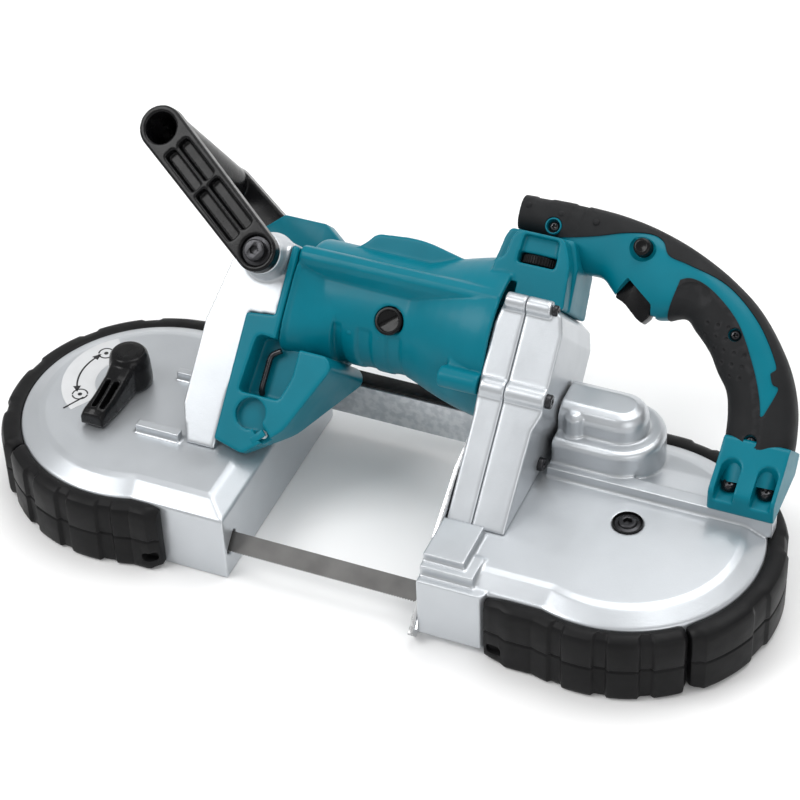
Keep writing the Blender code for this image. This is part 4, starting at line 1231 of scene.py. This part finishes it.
def toothed_blade():
    """The endless band with a set of teeth along its lower edge."""
    half_t, half_w = BLADE_THICK / 2, BLADE_WIDTH / 2
    wheel_z = joint_point("drive_wheel_spin").z
    roller = joint_point("guide_roller_left_inner_spin")
    roller2 = joint_point("guide_roller_left_outer_spin")
    cut_point = (roller + roller2) / 2
    cut_y, cut_z = cut_point.y - SHIFT_Y, cut_point.z
    guide_left = roller.x
    guide_right = joint_point("guide_roller_right_inner_spin").x
    stations = []

    def station(x, y, z, out, up):
        stations.append((Vector((x, y, z)), Vector(out), Vector(up)))

    for centre, first in ((WHEEL_X, -90), (-WHEEL_X, 90)):
        for i in range(61):
            a = math.radians(first + 3 * i)
            station(centre + BLADE_R * math.cos(a), BLADE_R * math.sin(a), wheel_z,
                    (math.cos(a), math.sin(a), 0), (0, 0, 1))
    turn_from = (-WHEEL_X + 14, WHEEL_X - 14)
    turn_to = (guide_left - 6, guide_right + 6)
    shares = [i / 20 for i in range(21)]
    run = [(turn_from[0] + (turn_to[0] - turn_from[0]) * s, s) for s in shares]
    run += [(turn_to[1] + (turn_from[1] - turn_to[1]) * s, 1 - s) for s in shares]
    for x, share in run:
        blend = share * share * (3 - 2 * share)
        angle = (math.pi / 2 - TILT) * blend
        station(x, -BLADE_R + (cut_y + BLADE_R) * blend, wheel_z + (cut_z - wheel_z) * blend,
                (0, -math.cos(angle), math.sin(angle)), (0, math.sin(angle), math.cos(angle)))
    points = stations + stations[:1]
    mesh = bmesh.new()
    rows = []
    for (p0, o0, u0), (p1, o1, u1) in zip(points, points[1:]):
        length = (p1 - p0).length
        count = max(1, round(length / (TOOTH_PITCH / 2)))
        for k in range(count):
            t = k / count
            p, o, u = p0.lerp(p1, t), o0.lerp(o1, t).normalized(), u0.lerp(u1, t).normalized()
            tooth = 0.0 if len(rows) % 2 else TOOTH_DEPTH
            bottom = -half_w + tooth
            rows.append([p - o * half_t + u * bottom, p + o * half_t + u * bottom,
                         p + o * half_t + u * half_w, p - o * half_t + u * half_w])
    if len(rows) % 2:
        rows.pop()
    verts = [[mesh.verts.new(level() @ c * MM) for c in row] for row in rows]
    for low, high in zip(verts, verts[1:] + verts[:1]):
        for i in range(4):
            j = (i + 1) % 4
            mesh.faces.new((low[i], low[j], high[j], high[i]))
    bmesh.ops.recalc_face_normals(mesh, faces=mesh.faces)
    band = new_object("toothed_blade", mesh)
    shade(band, 30)
    finish(band, "band", ["blade"])


def stopper():
    """Work stop with a fine saw-tooth grip on its long front edge."""
    line = [(46, -8), (43.5, 14), (10, 31), (-34, 40.5), (-60, 40.5), (-94, 39), (-94.5, 29), (-84, 20),
            (-80, 14), (-30, 14), (-10, -8)]
    x0 = THROAT_RIGHT - 3.2
    base = work() @ FACING_X
    edge = []
    for i, (a, b) in enumerate(zip(line, line[1:] + line[:1])):
        edge.append(a)
        if i in (2, 3, 4):
            length = math.dist(a, b)
            count = int(length / 1.6)
            normal = ((b[1] - a[1]) / length, -(b[0] - a[0]) / length)
            for k in range(1, count):
                t = k / count
                dip = 0.55 if k % 2 else 0.0
                edge.append((a[0] + (b[0] - a[0]) * t + normal[0] * dip * -1,
                             a[1] + (b[1] - a[1]) * t + normal[1] * dip * -1))
    plate = new_object("stopper_face", prism(edge, x0, x0 + 2.8, base))
    carve(plate, prism([(-90, 27.5), (-58, 27.5), (-58, 36.5), (-90, 36.5)], x0 - 2, x0 + 5, base))
    bevel(plate, 0.2, 2, 50)
    finish(plate, "zinc", ["stopper_plate"], "stopper")


def smooth_copy(node, surface, width):
    """Bevelled copy of a CAD node on the chassis."""
    mesh = bmesh.new()
    mesh.from_mesh(frame["nodes"][node].data)
    bmesh.ops.remove_doubles(mesh, verts=mesh.verts, dist=0.00001)
    bmesh.ops.dissolve_limit(mesh, angle_limit=math.radians(1), verts=mesh.verts, edges=mesh.edges)
    obj = new_object(node + "_face", mesh)
    bevel(obj, width, 3, 35)
    finish(obj, surface, [node])


# --- carried-over nodes ---
def dress_nodes():
    """Give every CAD node the surface named like its material slot."""
    slots = {row["node"]: row["material_slot"] for row in frame["record"]["subparts"]}
    for name, obj in frame["nodes"].items():
        obj.data.materials.clear()
        obj.data.materials.append(SURFACES[slots[name]])


# --- stage ---
LIGHTS = (("key", (-1.2, -0.9, 1.9), 1.1, 23),
          ("top", (0.3, 0.7, 2.2), 1.6, 28),
          ("fill", (1.6, -1.4, 1.0), 1.2, 8))


def stage():
    mesh = bmesh.new()
    size, back, rise = 3.0, 1.9, 2.4
    rows = []
    for y, z in [(-size, 0), (back - 0.8, 0)] + [
            (back - 0.8 + 0.8 * math.sin(math.radians(a)), 0.8 - 0.8 * math.cos(math.radians(a)))
            for a in range(6, 90, 6)] + [(back, 0.8), (back, rise)]:
        rows.append([mesh.verts.new((-size, y, z)), mesh.verts.new((size, y, z))])
    for low, high in zip(rows, rows[1:]):
        mesh.faces.new((low[0], low[1], high[1], high[0]))
    floor = new_object("floor", mesh)
    floor.data.shade_smooth()
    floor.data.materials.append(SURFACES["floor"])
    for name, place, size, power in LIGHTS:
        data = bpy.data.lights.new(name, "AREA")
        data.shape = "SQUARE"
        data.size = size
        data.energy = power
        lamp = bpy.data.objects.new(name, data)
        lamp.location = place
        lamp.rotation_euler = (-Vector(place)).to_track_quat("-Z", "Y").to_euler()
        bpy.context.scene.collection.objects.link(lamp)
    world = bpy.data.worlds.new("studio")
    world.use_nodes = True
    world.node_tree.nodes["Background"].inputs["Color"].default_value = (1, 1, 1, 1)
    world.node_tree.nodes["Background"].inputs["Strength"].default_value = 0.55
    bpy.context.scene.world = world
    bpy.context.scene.view_settings.view_transform = "Standard"


def camera():
    turn, rise, roll = math.radians(24.2), math.radians(40.74), math.radians(-2.43)
    distance, focal = 1736.0, 2682.0
    target = Vector((-15.4, 64.9 + SHIFT_Y, DECK))
    back = Vector((math.cos(rise) * math.sin(turn), -math.cos(rise) * math.cos(turn), math.sin(rise)))
    right = Vector((math.cos(turn), math.sin(turn), 0))
    up = back.cross(right)
    right, up = (right * math.cos(roll) + up * math.sin(roll),
                 up * math.cos(roll) - right * math.sin(roll))
    pose = Matrix((right, up, back)).transposed().to_4x4()
    pose.translation = (target + back * distance) * MM
    data = bpy.data.cameras.new("camera")
    data.sensor_width = 36
    data.lens = 36 * focal / 800
    eye = bpy.data.objects.new("camera", data)
    eye.matrix_world = pose
    bpy.context.scene.collection.objects.link(eye)
    bpy.context.scene.camera = eye


dress_nodes()
idler_housing()
drive_housing()
rubber_parts()
motor_body()
gear_column()
idler_arm()
side_block()
hex_key()
d_handle()
controls()
front_handle()
screws()
tension_lever()
label()
toothed_blade()
stopper()
smooth_copy("rear_bar", "silver", 0.6)
smooth_copy("rear_bar_strip", "rubber", 0.4)
smooth_copy("battery_mount", "teal", 1.2)
smooth_copy("terminal_block", "black", 0.3)
stage()
camera()
